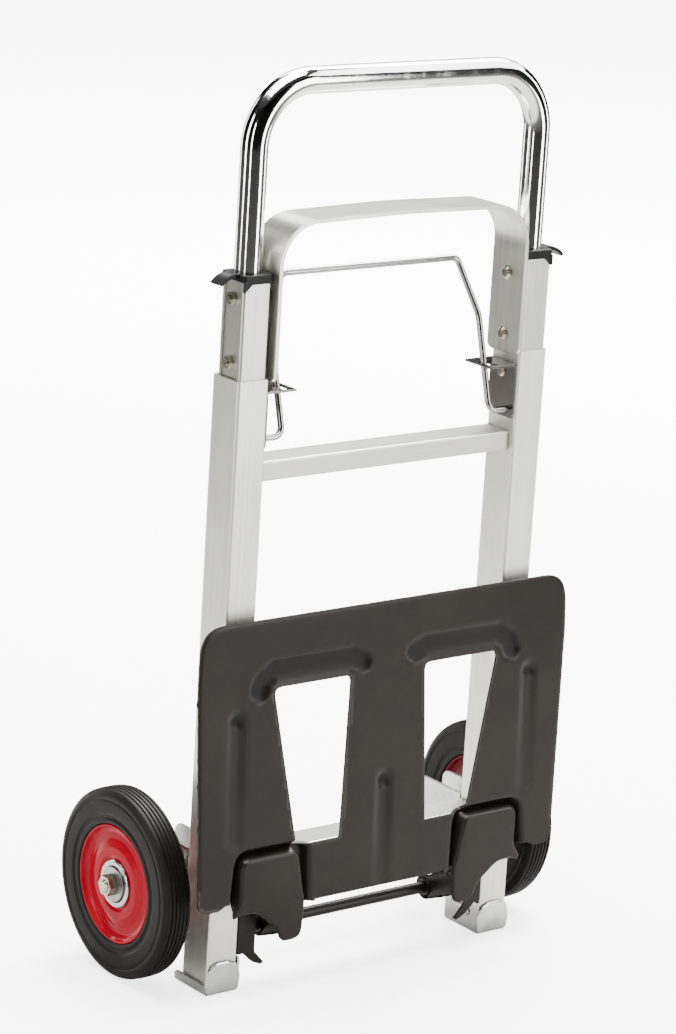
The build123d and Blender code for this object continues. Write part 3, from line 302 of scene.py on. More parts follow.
# How die lines and brushing are drawn out: many to the metre across the grain, few along it
ALONG_Z, ALONG_X, ROUND_THE_HOOP = (1400, 1400, 9), (9, 1400, 1400), (9, 1300, 9)
FINISHES = {
    "stile_aluminium": extruded_aluminium("satin_stile", ALONG_Z, light=0.68, rough=0.38),
    "crossbar_aluminium": extruded_aluminium("satin_crossbar", ALONG_X, light=0.58),
    "inner_stile_aluminium": extruded_aluminium("satin_inner_stile", ALONG_Z, light=0.55, rough=0.32),
    "strap_aluminium": extruded_aluminium("satin_strap", ROUND_THE_HOOP, light=0.57, rough=0.30),
    "zinc_sheet": zinc_plate("zinc_foot", edge_radius=0.0014, edge_shade=0.8),
    "zinc_fasteners": zinc_plate("zinc_fastener", (0.50, 0.46, 0.36, 1), rough=0.20, edge_radius=0.0003),
    "handle_chrome": polished_chrome("chrome_handle"),
    "bail_chrome": polished_chrome("chrome_bail", light=0.36, dull=0.10),
    "washer_steel": zinc_plate("dull_washer", (0.34, 0.335, 0.32, 1), rough=0.30, edge_radius=0.0003),
    "lock_plate_steel": zinc_plate("bright_lock_plate", (0.33, 0.30, 0.275, 1), rough=0.16),
    "black_hinge_steel": black_enamel("black_hinge", wear=0.5, rough=0.30),
    "toe_plate_paint": black_enamel("black_toe_plate", wear=0.9),
    "cap_plastic": moulded_plastic("black_cap", shade=0.007),
    "guide_plastic": moulded_plastic("black_guide", shade=0.02, rough=0.5),
    "tyre_rubber": tyre_rubber("solid_tyre"),
    "disc_red_paint": red_enamel("red_disc"),
    "hub_zinc": zinc_plate("bright_hub", (0.52, 0.515, 0.50, 1), rough=0.16, edge_radius=0.0004),
    "bearing_steel": zinc_plate("bearing_steel", (0.45, 0.45, 0.46, 1), rough=0.22, edge_radius=0.0003),
}
SLOT_OF = {part["node"]: part["material_slot"] for part in frame["record"]["subparts"]}
for node_name, node in frame["nodes"].items():
    for holder in node.material_slots:
        holder.material = FINISHES[SLOT_OF[node_name]]

# ---------------------------------------------------------------- shapes
TURN_STEPS = 144


def rounded(corners, steps):
    """A closed outline whose corners (two coordinates and a radius) are replaced by arcs.

    An arc of radius r starts and ends r / tan(half the corner's angle) from the corner, but no further than
    0.49 of either side, and follows the quadratic curve that touches both sides there.
    """
    corners = np.asarray(corners, float)
    points, radii = corners[:, :2], corners[:, 2]
    before, after = np.roll(points, 1, 0) - points, np.roll(points, -1, 0) - points
    reach_before, reach_after = np.linalg.norm(before, axis=1), np.linalg.norm(after, axis=1)
    before, after = before / reach_before[:, None], after / reach_after[:, None]
    half_angle = np.arccos(np.clip((before * after).sum(1), -1, 1)) / 2
    reach = np.minimum(radii / np.tan(half_angle), 0.49 * np.minimum(reach_before, reach_after))
    t = np.linspace(0, 1, steps)[None, :, None]
    start, end = points + before * reach[:, None], points + after * reach[:, None]
    arcs = (1 - t) ** 2 * start[:, None] + 2 * t * (1 - t) * points[:, None] + t**2 * end[:, None]
    line = arcs.reshape(-1, 2)
    keep = np.linalg.norm(line - np.roll(line, 1, 0), axis=1) > 1e-6
    keep[0] = True
    return line[keep]


def riding_piece(name, mesh, finish, body, sharp):
    """Smooths a filled mesh up to an angle in degrees, gives it its finish and lets it ride on a body."""
    mesh.shade_smooth()
    mesh.set_sharp_from_angle(angle=math.radians(sharp))
    piece = bpy.data.objects.new(name, mesh)
    bpy.context.collection.objects.link(piece)
    mesh.materials.append(FINISHES[finish])
    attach(piece, body)
    return piece


def mesh_piece(name, points, faces, finish, body, sharp=38.0):
    """A piece from arrays of points (metres) and faces that already point outwards."""
    mesh = bpy.data.meshes.new(name)
    mesh.from_pydata(np.asarray(points, float).tolist(), [], np.asarray(faces).tolist())
    return riding_piece(name, mesh, finish, body, sharp)


def turned(name, side, profile, finish, body):
    """A closed profile turned about the axle.

    Profile points are (outward distance from the wheel's middle plane, radius) in millimetres; point
    (i, j) is profile point i at angle j: x = side * (middle + outward), y and z on a circle of that radius.
    """
    profile, steps = profile * MM, TURN_STEPS
    angle = np.linspace(0, 2 * math.pi, steps, endpoint=False)
    outward, radius = profile[:, 0][:, None], profile[:, 1][:, None]
    x = np.broadcast_to(side * (WHEEL_MIDDLE + outward), (len(profile), steps))
    points = np.stack((x, AXLE_Y + radius * np.cos(angle), AXLE_Z + radius * np.sin(angle)), -1)
    i, j = np.meshgrid(np.arange(len(profile)), np.arange(steps), indexing="ij")
    i2, j2 = (i + 1) % len(profile), (j + 1) % steps
    corners = [i * steps + j, i * steps + j2, i2 * steps + j2, i2 * steps + j]
    area = (profile[:, 0] * np.roll(profile[:, 1], -1) - np.roll(profile[:, 0], -1) * profile[:, 1]).sum()
    faces = np.stack(corners if area * side < 0 else corners[::-1], -1).reshape(-1, 4)
    return mesh_piece(name, points.reshape(-1, 3), faces, finish, body)


def tyre_profile():
    """Sidewalls with a bead, a recessed ring and a raised band; a round shoulder and five tread grooves.

    Each corner is (outward distance, radius from the axle, corner radius), in millimetres, as in the other
    turned profiles.
    """
    wall = [
        (12.3, 55.0, 0.3),
        (13.6, 55.9, 0.8),
        (13.8, 58.6, 1.0),
        (12.7, 60.6, 1.0),
        (12.9, 63.0, 1.2),
        (14.1, 65.0, 1.2),
        (14.3, 75.2, 0.8),
        (13.6, 76.2, 0.6),
        (13.6, 77.6, 0.6),
        (14.4, 78.6, 0.8),
        (14.3, 81.6, 2.0),
        (11.8, 86.3, 3.0),
    ]
    tread = []
    for centre in (8.0, 4.0, 0.0, -4.0, -8.0):
        crown = 87.5 - 0.006 * centre**2
        groove = ((0.85, 0.0), (0.5, 1.3), (-0.5, 1.3), (-0.85, 0.0))
        tread += [(centre + across, crown - deep, 0.3) for across, deep in groove]
    loop = wall + tread + [(-x, r, c) for x, r, c in wall[::-1]]
    return rounded(loop, 4)


def disc_profile(outward):
    """A pressed disc: rolled lip, a valley, a broad swelling and a flat seat round the hub."""
    front = [
        (0.1, 54.7, 0.2),
        (11.6, 54.8, 0.6),
        (12.9, 54.2, 0.7),
        (12.9, 52.6, 0.7),
        (9.2, 50.4, 2.0),
        (7.6, 46.5, 2.5),
        (8.4, 41.0, 3.0),
        (10.9, 33.0, 4.0),
        (11.2, 26.0, 2.5),
        (9.8, 23.4, 1.5),
        (9.6, 19.1, 0.2),
    ]
    back = [(8.2, 19.1, 0.2), (8.2, 24.0, 1.5), (9.4, 27.0, 2.5), (6.4, 40.0, 3.0), (0.1, 48.0, 1.0)]
    return rounded([(outward * x, r, c) for x, r, c in front + back], 5)


def hub_profile():
    """A bright ring with a bead that covers the disc's inner edge, and a recess for the bearing."""
    loop = [
        (11.4, 16.1, 0.2),
        (12.2, 17.4, 0.5),
        (12.2, 21.0, 0.6),
        (11.2, 21.9, 0.5),
        (9.7, 21.9, 0.3),
        (9.7, 19.0, 0.2),
        (-19.0, 19.0, 0.5),
        (-19.0, 16.1, 0.2),
    ]
    return rounded(loop, 4)


for name, side in SIDES.items():
    body = f"wheel_{name}"
    tyre = turned(f"ribbed_tyre_{name}", side, tyre_profile(), "tyre_rubber", body)
    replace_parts(tyre, f"tyre_{name}")
    for face, outward in {"outer": 1, "inner": -1}.items():
        profile = disc_profile(outward)
        disc = turned(f"pressed_disc_{face}_{name}", side, profile, "disc_red_paint", body)
        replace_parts(disc, f"rim_disc_{face}_{name}")
    ring = turned(f"hub_ring_{name}", side, hub_profile(), "hub_zinc", body)
    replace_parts(ring, f"hub_{name}")


# Toe plate, worked out on its own plane: x across, v up the plate from its lower edge, in millimetres
PLATE_SHEET, PLATE_EDGE, FLANGE_BEND, FLANGE_END = 2.3, 0.5, 5.0, 74.0
PLATE_LEAN = math.radians(2.35)
PLATE_RISE = 81.0
PLATE_ACROSS = np.array([1.0, 0, 0])
PLATE_FOOT = np.array([0.0, STILE_FRONT - 24.0, PLATE_RISE])
PLATE_UP = np.array([0.0, math.sin(PLATE_LEAN), math.cos(PLATE_LEAN)])
PLATE_BACK = np.array([0.0, math.cos(PLATE_LEAN), -math.sin(PLATE_LEAN)])


def smooth(value, low, high):
    """0 below low, 1 above high, 3t^2 - 2t^3 between."""
    t = np.clip((value - low) / (high - low), 0, 1)
    return t * t * (3 - 2 * t)


def chain_distance(x, v, points):
    """Distance from (x, v) to a chain of straight runs."""
    best = np.full(x.shape, 1e9)
    for (x0, v0), (x1, v1) in zip(points[:-1], points[1:]):
        along = ((x - x0) * (x1 - x0) + (v - v0) * (v1 - v0)) / ((x1 - x0) ** 2 + (v1 - v0) ** 2)
        along = np.clip(along, 0, 1)
        best = np.minimum(best, np.hypot(x - x0 - along * (x1 - x0), v - v0 - along * (v1 - v0)))
    return best


def loop_distance(x, v, loop):
    """Signed distance to a closed loop, negative inside, by ray crossings along +x."""
    loop = np.asarray(loop)
    inside = np.zeros(x.shape, bool)
    for (x0, v0), (x1, v1) in zip(loop, np.roll(loop, -1, 0)):
        crosses = (v0 > v) != (v1 > v)
        inside ^= crosses & (x < (x1 - x0) * (v - v0) / (v1 - v0 + 1e-12) + x0)
    distance = chain_distance(x, v, np.vstack((loop, loop[:1])))
    return np.where(inside, -distance, distance)


# The knuckle's pocket, the ribs (distance from the middle, top, foot) and the groove over a window
POCKET = rounded([(80.5, -40, 0), (84.0, 58.5, 14), (161.0, 58.5, 14), (165.5, 20, 16), (165.5, -40, 0)], 6)
RIBS = ((166.0, 182.0, 72.0), (0.0, 103.0, 4.0))
GROOVE = [(30, 217), (42, 222), (126, 222), (139, 214), (143, 205)]


def plate_depth(x, v):
    """How far the pressed face lies behind the plate's front plane.

    The sum of smooth steps on the distances to the knuckle pockets, the bent grooves over the windows and
    the upright ribs, each rib with a round dimple at its top and fading downwards.
    """
    side_x = np.abs(x)
    depth = 9.5 * smooth(-loop_distance(side_x, v, POCKET), -3.5, 4.5)
    depth += 3.4 * smooth(-chain_distance(side_x, v, GROOVE), -12.0, -4.5)
    for rib_x, top, foot in RIBS:
        away = chain_distance(side_x, v, [(rib_x, top), (rib_x, foot)])
        fade = 1.0 - 0.55 * smooth(top - v, 20.0, top - foot)
        depth += 2.2 * fade * smooth(-away, -13.0, -1.5)
        depth += 1.9 * smooth(-np.hypot(side_x - rib_x, v - top + 2), -9.0, -0.5)
    return depth


def flat_sheet(outline, holes, spacing, fine, fine_where):
    """Flat points and triangles over an outline with holes.

    The points are a square grid of the given spacing, or of the fine one where fine_where says, and the
    edges cut to the spacing; the triangles are the Delaunay ones whose middle is on the sheet.
    """
    loops = [np.asarray(loop) for loop in (outline, *holes)]
    dense = []
    for loop in loops:
        step = np.roll(loop, -1, 0) - loop
        counts = np.maximum(1, np.ceil(np.linalg.norm(step, axis=1) / spacing)).astype(int)
        runs = [loop[k] + step[k] * np.arange(n)[:, None] / n for k, n in enumerate(counts)]
        dense.append(np.vstack(runs))
    low, high = dense[0].min(0), dense[0].max(0)
    grids = []
    for pitch, keep_fine in ((spacing, False), (fine, True)):
        xs, vs = (np.arange(low[k] + pitch / 2, high[k], pitch) for k in (0, 1))
        x, v = (a.ravel() for a in np.meshgrid(xs, vs))
        keep = fine_where(x, v) == keep_fine
        x, v = x[keep], v[keep]
        inside = loop_distance(x, v, loops[0]) < -0.45 * pitch
        for hole in loops[1:]:
            inside &= loop_distance(x, v, hole) > 0.45 * pitch
        grids.append(np.stack((x[inside], v[inside]), 1))
    points = np.vstack(dense + grids)
    edges, start = [], 0
    for loop in dense:
        index = np.arange(len(loop)) + start
        edges.append(np.stack((index, np.roll(index, -1)), 1))
        start += len(loop)
    edges = np.vstack(edges)
    coords = [Vector(point) for point in points.tolist()]
    made = delaunay_2d_cdt(coords, edges.tolist(), [], 0, 1e-5)
    flat = np.array([tuple(c) for c in made[0]])
    triangles = np.array(made[2])
    middle = flat[triangles].mean(1)
    keep = loop_distance(middle[:, 0], middle[:, 1], loops[0]) < 0
    for hole in loops[1:]:
        keep &= loop_distance(middle[:, 0], middle[:, 1], hole) > 0
    return flat, triangles[keep]


def thicken(piece, thickness, bevel):
    """Gives a sheet its thickness behind its face and softens its cut edges (both in millimetres)."""
    solid = piece.modifiers.new("sheet", "SOLIDIFY")
    solid.thickness, solid.offset = thickness * MM, -1.0
    soft = piece.modifiers.new("edges", "BEVEL")
    soft.width, soft.segments, soft.limit_method = bevel * MM, 2, "ANGLE"
    soft.angle_limit = math.radians(50)


def plate_points(flat):
    """Front face: the plane point at (x, v), moved back by the pressings, with the lower flange rolled back.

    Below v = FLANGE_BEND the sheet turns back on that radius and then runs straight back, but only between
    the knuckles; the outer rim turns back 0.9 mm over its last 3 mm.
    """
    x, v = flat[:, 0], flat[:, 1]
    turn = np.clip((FLANGE_BEND - v) / FLANGE_BEND, 0, math.pi / 2)
    past = np.clip(FLANGE_BEND - v - FLANGE_BEND * math.pi / 2, 0, None)
    flange = (np.abs(x) < FLANGE_END) & (v < FLANGE_BEND)
    height = np.where(flange, FLANGE_BEND - FLANGE_BEND * np.sin(turn), v)
    back = np.where(flange, FLANGE_BEND * (1 - np.cos(turn)) + past, 0.0)
    rim = loop_distance(x, v, PLATE_OUTLINE)
    back = back + plate_depth(x, v) * smooth(v, -2.0, 3.0) + 0.9 * smooth(rim, -3.0, 0.0) * (v > 30)
    across = x[:, None] * PLATE_ACROSS
    return (PLATE_FOOT + across + height[:, None] * PLATE_UP + back[:, None] * PLATE_BACK) * MM


def plate_shade(x, v):
    """How much painted shade the pressings get: 1 in the grooves and the ribs' dimples, up to 0.35 along the
    ribs, 0 on the flat.
    """
    side_x = np.abs(x)
    sunk = smooth(-chain_distance(side_x, v, GROOVE), -12.0, -7.0)
    for rib_x, top, foot in RIBS:
        sunk = np.maximum(sunk, smooth(-np.hypot(side_x - rib_x, v - top + 2), -7.5, -3.0))
        along = smooth(v, foot - 10, foot + 40) * (v < top)
        sunk = np.maximum(sunk, 0.35 * along * smooth(-np.abs(side_x - rib_x), -10.0, -4.0))
    return sunk


# Half of the plate's outline and one window, each corner with its radius
half_outline = [
    (72.0, -17.0, 3),
    (74.0, 0.0, 0),
    (164.0, 12.0, 3),
    (172.5, 13.0, 4),
    (180.5, 9.0, 5),
    (194.0, 9.0, 5),
    (202.0, 14.0, 5),
    (208.0, 216.0, 60),
    (206.0, 270.0, 31),
]
PLATE_OUTLINE = rounded(half_outline + [(-x, v, r) for x, v, r in half_outline[::-1]], 9)
window = rounded([(41.5, 206, 7), (127, 206, 7), (97, 55.5, 2.5), (48.5, 55.5, 2.5)], 7)
windows = [window, window * (-1, 1)]


def pressed_zone(x, v):
    """Where the pressings bend the sheet, so the grid is closer there."""
    side_x = np.abs(x)
    wall = np.abs(loop_distance(side_x, v, POCKET)) < 6
    groove = np.abs(chain_distance(side_x, v, GROOVE) - 7) < 5
    rib = np.abs(side_x - 166) < 13
    return wall | groove | rib | (side_x < 13) & (v < 112) | (v < 8) | (v > 262) | (side_x > 200)


flat, triangles = flat_sheet(PLATE_OUTLINE, windows, 4.0, 1.7, pressed_zone)
plate = mesh_piece("pressed_toe_plate", plate_points(flat), triangles, "toe_plate_paint", "toe_plate", 60)
# The painted shade for the pressings, stored as the sunk attribute
dark = plate.data.attributes.new("sunk", "FLOAT", "POINT")
dark.data.foreach_set("value", plate_shade(*flat.T).astype(np.float32))
thicken(plate, PLATE_SHEET, PLATE_EDGE)
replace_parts(plate, "toe_plate")

# The knuckle's outline (distance from the middle, height, corner radius) and its front face
KNUCKLE_LOOP = [
    (92.5, 135.8, 14),
    (160.5, 135.8, 13),
    (160.5, 94.0, 8),
    (164.5, 82.5, 1.5),
    (163.0, 78.5, 1.8),
    (153.5, 81.5, 3),
    (138.0, 80.5, 16),
    (116.0, 63.5, 20),
    (109.5, 47.6, 11),
    (86.5, 47.6, 14),
    (84.6, 96.0, 24),
]
KNUCKLE_FACE, POCKET_FLOOR, KNUCKLE_CROWN = STILE_FRONT - 25.2, 11.2, 0.9
KNUCKLE_SHEET, KNUCKLE_EDGE = 2.2, 0.4


def knuckle_shell(name, side):
    """A pressed boss: a slightly crowned face, a soft shoulder and a wall that runs back to the pocket.

    The depth behind the face at a distance e inside the outline is D (1 - e / W) ^ 1.6 within the wall's
    width W; D grows from 2 mm on the lobe to the pocket's floor above the tooth, and W from 2 to 5.5 mm.
    """
    loop = rounded(KNUCKLE_LOOP, 8)
    flat, triangles = flat_sheet(loop, [], 1.5, 0.75, lambda x, z: loop_distance(x, z, loop) > -6.5)
    x, z = flat[:, 0], flat[:, 1]
    upper = smooth(z, 82.0, 98.0)
    width = 2.0 + 3.5 * upper
    inside = np.clip(-loop_distance(x, z, loop), 0, None)
    depth = (2.0 + 9.0 * upper) * np.clip(1 - inside / width, 0, 1) ** 1.6
    crown = KNUCKLE_CROWN * smooth(np.hypot((x - 122) / 40, (z - 106) / 30), 0.1, 1.1)
    points = np.stack((side * x, KNUCKLE_FACE + depth + crown, z), 1)
    rim = np.where(inside < 1e-4)[0]
    order = rim[np.argsort(ring_order(flat[rim], loop))]
    floor = KNUCKLE_FACE + POCKET_FLOOR + (z[order] - PLATE_RISE) * math.tan(PLATE_LEAN)
    wall = smooth(z[order], 84.0, 96.0)
    back = points[order].copy()
    back[:, 1] += wall * np.clip(floor - back[:, 1], 0, None)
    walled = len(points) + np.arange(len(order))
    quads = np.stack((order, walled, np.roll(walled, -1), np.roll(order, -1)), 1)
    quads = quads[(wall > 0.01) & (np.roll(wall, -1) > 0.01)]
    faces = triangles.tolist() + quads.tolist()
    mesh = np.vstack((points, back)) * MM
    piece = outward_piece(name, mesh, faces, "toe_plate_paint", "toe_plate", (0, -1, 0))
    thicken(piece, KNUCKLE_SHEET, KNUCKLE_EDGE)
    return piece


def ring_order(points, loop):
    """Each point's distance along the loop, from the nearest of its runs."""
    run = np.roll(loop, -1, 0) - loop
    length = np.linalg.norm(run, axis=1)
    begin = np.concatenate(([0.0], np.cumsum(length)[:-1]))
    to_point = points[:, None, :] - loop[None, :, :]
    along = np.clip((to_point * run).sum(-1) / length**2, 0, 1)
    away = np.linalg.norm(to_point - along[..., None] * run, axis=-1)
    nearest = away.argmin(1)
    row = np.arange(len(points))
    return begin[nearest] + along[row, nearest] * length[nearest]


def outward_piece(name, points, faces, finish, body, outward):
    """A piece whose faces are all turned to look, on the whole, along outward; stray points are left out."""
    bm = bmesh.new()
    verts = [bm.verts.new(point) for point in np.asarray(points).tolist()]
    for face in faces:
        if len({*face}) == len(face):
            bm.faces.new([verts[i] for i in face])
    bmesh.ops.delete(bm, geom=[v for v in bm.verts if not v.link_faces], context="VERTS")
    bmesh.ops.recalc_face_normals(bm, faces=bm.faces)
    facing = sum((face.normal * face.calc_area() for face in bm.faces), Vector((0, 0, 0)))
    if facing.dot(Vector(outward)) < 0:
        bmesh.ops.reverse_faces(bm, faces=bm.faces)
    mesh = bpy.data.meshes.new(name)
    bm.to_mesh(mesh)
    bm.free()
    return riding_piece(name, mesh, finish, body, 55.0)


HINGE_Y, HINGE_Z, HINGE_NOSE, HINGE_BORE = STILE_FRONT + 18.0, 51.0, 12.0, 8.03
EAR_SHEET, EAR_NEAR = 2.5, {"inner": 86.5, "outer": 103.5}


def hinge_ear(name, side, near):
    """A flat ear round the hinge bush: a round nose about the hinge with a tapering root in front of it.

    It starts near millimetres from the middle of the truck, and is a sheet's thickness further at its far
    face.
    """
    hinge = np.array([HINGE_Y, HINGE_Z])
    nose_turn = np.linspace(math.radians(98), math.radians(-120), 28)[:, None]
    bore_turn = np.linspace(0, 2 * math.pi, 40, endpoint=False)[:, None]
    nose = hinge + HINGE_NOSE * np.hstack((np.cos(nose_turn), np.sin(nose_turn)))
    bore = hinge + HINGE_BORE * np.hstack((np.cos(bore_turn), np.sin(bore_turn)))
    root = np.array([(-9, 49.5), (-22.4, 56), (-22.4, 74), (-10, 76)]) + (STILE_FRONT, 0)
    flat, triangles = flat_sheet(np.vstack((nose, root)), [bore], 3.0, 3.0, lambda y, z: y > 1e6)
    points = np.column_stack((np.full(len(flat), side * (near + EAR_SHEET)), flat)) * MM
    piece = outward_piece(name, points, triangles.tolist(), "toe_plate_paint", "toe_plate", (side, 0, 0))
    thicken(piece, EAR_SHEET, KNUCKLE_EDGE)


for name, side in SIDES.items():
    shell = knuckle_shell(f"knuckle_shell_{name}", side)
    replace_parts(shell, f"knuckle_{name}")
    for place, near in EAR_NEAR.items():
        hinge_ear(f"hinge_ear_{place}_{name}", side, near)


# The foot's tongue (distance from the middle, height, corner radius) and the inner cheek's cut outline
# (distance from the front, height)
FOOT_TAB = [
    (138.4, 0.3, 4),
    (136.6, 14.0, 12),
    (140.0, 26.5, 10),
    (150.0, 30.5, 10),
    (164.0, 30.5, 10),
    (173.0, 25.0, 10),
    (175.6, 11.0, 9),
    (173.0, 0.3, 5),
]
CHEEK = np.array([(0, 31), (15, 31), (17, 30), (22, 22), (30, 22), (33, 27), (44, 27), (46, 26), (47, 23)])
FOOT_IN, FOOT_OUT, FOOT_LIP, FOOT_BEND = 137.5, 174.5, 10.0, 3.0
CHEEK_LENGTH, FOOT_LENGTH, FOOT_FORWARD, TAB_FORWARD = 47, 47.8, 0.8, 3.2
CUP_SHEET, CUP_EDGE, TAB_SHEET, TAB_EDGE = 2.4, 0.5, 2.2, 0.3


def foot_tab(name, side):
    """The tongue bent up in front: its rim rolls back as 1.2 (1 - e / 1.8) ^ 2 mm, e being the distance
    inside the outline, and the whole face is crowned by 0.8 mm."""
    loop = rounded(FOOT_TAB, 7)
    flat, triangles = flat_sheet(loop, [], 2.0, 0.6, lambda x, z: loop_distance(x, z, loop) > -3)
    x, z = flat[:, 0], flat[:, 1]
    inside = np.clip(-loop_distance(x, z, loop), 0, None)
    depth = 1.2 * np.clip(1 - inside / 1.8, 0, 1) ** 2 + 0.8 * (1 - smooth(inside, 0.0, 16.0))
    points = np.stack((side * x, STILE_FRONT - TAB_FORWARD + depth, z), 1) * MM
    piece = outward_piece(name, points, triangles.tolist(), "zinc_sheet", "frame", (0, -1, 0))
    thicken(piece, TAB_SHEET, TAB_EDGE)


def foot_cup(name, side):
    """One sheet bent up on both sides of the sole.

    Across, the profile runs from the lip's top, down the outer wall, round a 3 mm bend, over the sole and up
    the inner cheek; along the foot the cheek's height follows its cut outline.
    """
    along = np.unique(np.concatenate((np.linspace(0, CHEEK_LENGTH, 25), CHEEK[:, 0])))
    cheek = np.interp(along, CHEEK[:, 0], CHEEK[:, 1])[:, None]
    lip = (FOOT_LIP - 3.0 * np.clip((along - 43) / 4, 0, 1) ** 2)[:, None]
    turn = np.linspace(0, math.pi / 2, 7)[None, :]
    rise = np.linspace(1, 0, 7)[None, :-1]
    arc_x, arc_z = FOOT_BEND * (1 - np.sin(turn)), FOOT_BEND * (1 - np.cos(turn))
    wide = np.ones((len(along), 1))
    x = np.hstack(
        (
            wide * np.full_like(rise, FOOT_OUT),
            wide * (FOOT_OUT - arc_x[:, ::-1]),
            wide * np.linspace(FOOT_OUT - FOOT_BEND, FOOT_IN + FOOT_BEND, 8)[None, 1:-1],
            wide * (FOOT_IN + arc_x),
            wide * np.full_like(rise, FOOT_IN),
        )
    )
    z = np.hstack(
        (
            FOOT_BEND + rise * (lip - FOOT_BEND),
            wide * arc_z[:, ::-1],
            wide * np.zeros((1, 6)),
            wide * arc_z,
            FOOT_BEND + rise[:, ::-1] * (cheek - FOOT_BEND),
        )
    )
    y = STILE_FRONT - FOOT_FORWARD + along[:, None] * (FOOT_LENGTH / CHEEK_LENGTH)
    points = np.stack((side * x, np.broadcast_to(y, x.shape), z), -1).reshape(-1, 3) * MM
    columns = x.shape[1]
    i, j = (a.ravel() for a in np.meshgrid(np.arange(len(x) - 1), np.arange(columns - 1), indexing="ij"))
    first = i * columns + j
    quads = np.stack((first, first + 1, first + columns + 1, first + columns), 1)
    piece = outward_piece(name, points, quads.tolist(), "zinc_sheet", "frame", (0, 0, -1))
    thicken(piece, CUP_SHEET, CUP_EDGE)
    return piece


for name, side in SIDES.items():
    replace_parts(foot_cup(f"foot_cup_{name}", side), f"foot_{name}")
    foot_tab(f"foot_tab_{name}", side)

# ---------------------------------------------------------------- floor, light and camera
PAPER, PAPER_FIBRE = (0.92, 0.92, 0.92, 1), (0.736, 0.736, 0.736, 1)
THROWN_NEAR, THROWN_FAR = (0.44, 0.44, 0.43, 1), (0.06, 0.06, 0.058, 1)
GLOW_NEAR, GLOW_FAR, NO_GLOW = (0.42, 0.42, 0.42, 1), (1.0, 1.0, 1.0, 1), (0, 0, 0, 1)
GLOW_STRENGTH = 7.0


def stage_finish():
    """Plain matt paper; what it throws on the truck falls off outwards, so bright metal has darks to show.

    Seen directly it is white and glows a little, more so far from the middle, as under its own lamps.
    """
    f = Finish("pale_paper")
    fibre = f.noise(60.0, 2.0, 0.5)
    tone = f.mix(fibre * 0.04, PAPER, PAPER_FIBRE)
    seen = f.node("LightPath", {}, {}, "Is Camera Ray")
    away = f.node("VectorMath", {"operation": "LENGTH"}, {0: f.place((1, 1, 0))}, "Value")
    thrown = f.mix(away.step(1.2, 1.9), THROWN_NEAR, THROWN_FAR)
    glow = f.mix(seen, NO_GLOW, f.mix(away.step(0.6, 3.6), GLOW_NEAR, GLOW_FAR))
    f.surface(Base_Color=f.mix(seen, thrown, tone), Roughness=0.95, Specular_IOR_Level=0.1)
    return f.surface(Emission_Color=glow, Emission_Strength=GLOW_STRENGTH)


FLOOR_FLAT, FLOOR_CURVE, FLOOR_TOP, FLOOR_AROUND = 9.0, 4.0, 12.0, 96


def bowl_floor():
    """A round studio floor: rings of points, flat, then a quarter circle up, then upright.

    Each ring has radius r and height z; it is far wider than any camera's distance, so it looks the same
    from every side.
    """
    turn = np.linspace(0, math.pi / 2, 17)[1:]
    flat = [0.0, 1.0, 2.0, 4.0, FLOOR_FLAT]
    r = np.concatenate((flat, FLOOR_FLAT + FLOOR_CURVE * np.sin(turn), [FLOOR_FLAT + FLOOR_CURVE]))
    z = np.concatenate((np.zeros(len(flat)), FLOOR_CURVE - FLOOR_CURVE * np.cos(turn), [FLOOR_TOP]))
    angle = np.linspace(0, 2 * math.pi, FLOOR_AROUND, endpoint=False)
    heights = np.repeat(z[1:, None], FLOOR_AROUND, 1)
    rings = np.stack((r[1:, None] * np.cos(angle), r[1:, None] * np.sin(angle), heights), -1)
    points = np.vstack(([[0.0, 0.0, 0.0]], rings.reshape(-1, 3)))
    j = np.arange(FLOOR_AROUND)
    following = (j + 1) % FLOOR_AROUND
    faces = np.stack((np.zeros(FLOOR_AROUND, int), 1 + j, 1 + following), 1).tolist()
    for inner in 1 + FLOOR_AROUND * np.arange(len(r) - 2):
        outer = inner + FLOOR_AROUND
        faces += np.stack((inner + j, outer + j, outer + following, inner + following), 1).tolist()
    mesh = bpy.data.meshes.new("studio_bowl")
    mesh.from_pydata(points.tolist(), [], faces)
    mesh.shade_smooth()
    floor = bpy.data.objects.new("studio_bowl", mesh)
    bpy.context.collection.objects.link(floor)
    mesh.materials.append(stage_finish())


bowl_floor()


def softbox(name, place, aim, size, power):
    """A rectangular area light that points at its aim and isn't seen itself."""
    light = bpy.data.lights.new(name, "AREA")
    light.shape, light.size, light.size_y = "RECTANGLE", size[0], size[1]
    light.energy = power
    lamp = bpy.data.objects.new(name, light)
    lamp.location = place
    lamp.rotation_euler = (Vector(aim) - Vector(place)).to_track_quat("-Z", "Y").to_euler()
    lamp.visible_camera = False
    bpy.context.collection.objects.link(lamp)


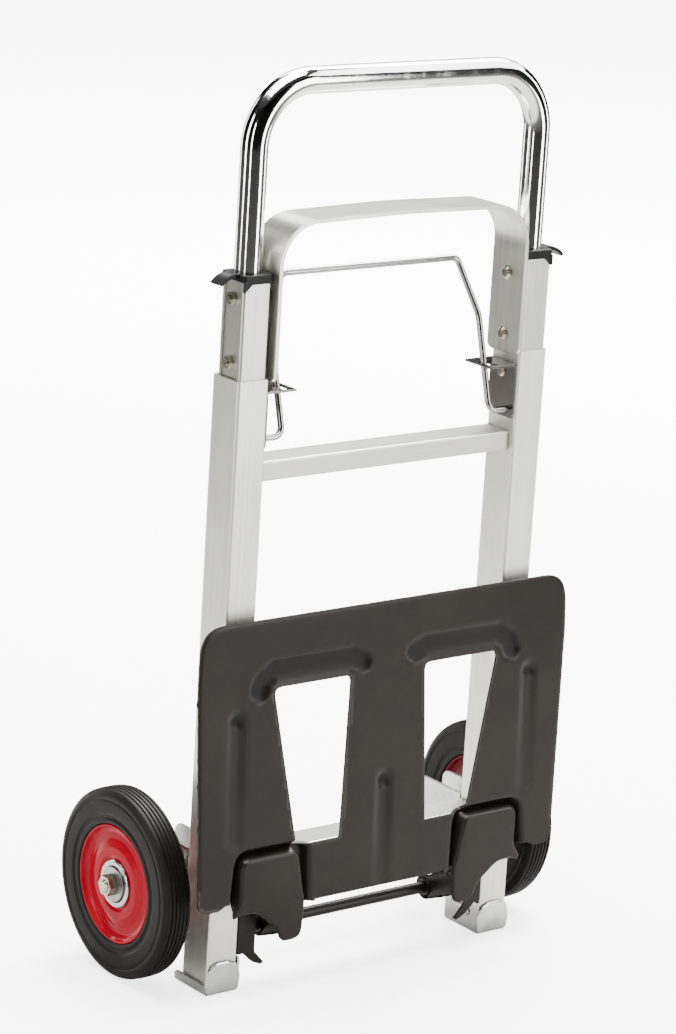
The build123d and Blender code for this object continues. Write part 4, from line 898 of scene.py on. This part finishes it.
# Each light's place, aim, width and height in metres, and power in watts
SOFTBOXES = {
    "overhead_softbox": ((-0.2, 0.0, 3.4), (0, 0, 0.0), (2.6, 2.6), 420),
    "background_softbox": ((2.4, 1.6, 4.2), (2.4, 2.6, 0.0), (3.4, 2.0), 900),
    "high_back_softbox": ((1.7, 2.2, 2.9), (0, 0, 0.6), (2.6, 1.6), 90),
    "high_right_softbox": ((2.1, -0.35, 2.5), (0, 0, 0.7), (3.4, 1.5), 130),
    "left_strip": ((-2.0, 0.5, 1.0), (0, 0, 1.0), (0.40, 1.9), 28),
    "front_left_strip": ((-2.8, -1.5, 1.0), (0, 0, 1.0), (0.30, 1.9), 26),
    "front_right_softbox": ((1.2, -2.3, 1.0), (0, 0, 1.0), (0.75, 1.9), 60),
    "right_strip": ((2.1, -0.6, 1.0), (0, 0, 1.0), (0.35, 1.9), 26),
    "back_strip": ((-0.6, 2.2, 1.0), (0, 0, 1.0), (0.35, 1.9), 20),
}
for name, settings in SOFTBOXES.items():
    softbox(name, *settings)

AIR_COLOUR, AIR_STRENGTH = (1.0, 1.0, 1.0, 1.0), 0.05
world = bpy.data.worlds.new("studio_air")
world.use_nodes = True
air = world.node_tree.nodes["Background"]
air.inputs["Color"].default_value, air.inputs["Strength"].default_value = AIR_COLOUR, AIR_STRENGTH
bpy.context.scene.world = world

# The camera: how far it is turned towards +X, looks down and is rolled; lens and sensor in millimetres
CAMERA_PLACE = (-1.975195, -2.540778, 1.276675)
AZIMUTH, ELEVATION, ROLL = (math.radians(a) for a in (37.864, 15.142, 3.518))
LENS, SENSOR_HEIGHT = 85.328934, 24.0
right = Vector((math.cos(AZIMUTH), -math.sin(AZIMUTH), 0))
level = math.cos(ELEVATION)
ahead = Vector((math.sin(AZIMUTH) * level, math.cos(AZIMUTH) * level, -math.sin(ELEVATION)))
up = right.cross(ahead)
right, up = right * math.cos(ROLL) + up * math.sin(ROLL), up * math.cos(ROLL) - right * math.sin(ROLL)
camera = bpy.data.objects.new("camera", bpy.data.cameras.new("camera"))
camera.data.sensor_fit = "VERTICAL"
camera.data.sensor_height, camera.data.lens = SENSOR_HEIGHT, LENS
turned_to_aim = Matrix((right, up, -ahead)).transposed().to_4x4()
camera.matrix_world = Matrix.Translation(CAMERA_PLACE) @ turned_to_aim
bpy.context.collection.objects.link(camera)
bpy.context.scene.camera = camera

bpy.context.view_layer.update()
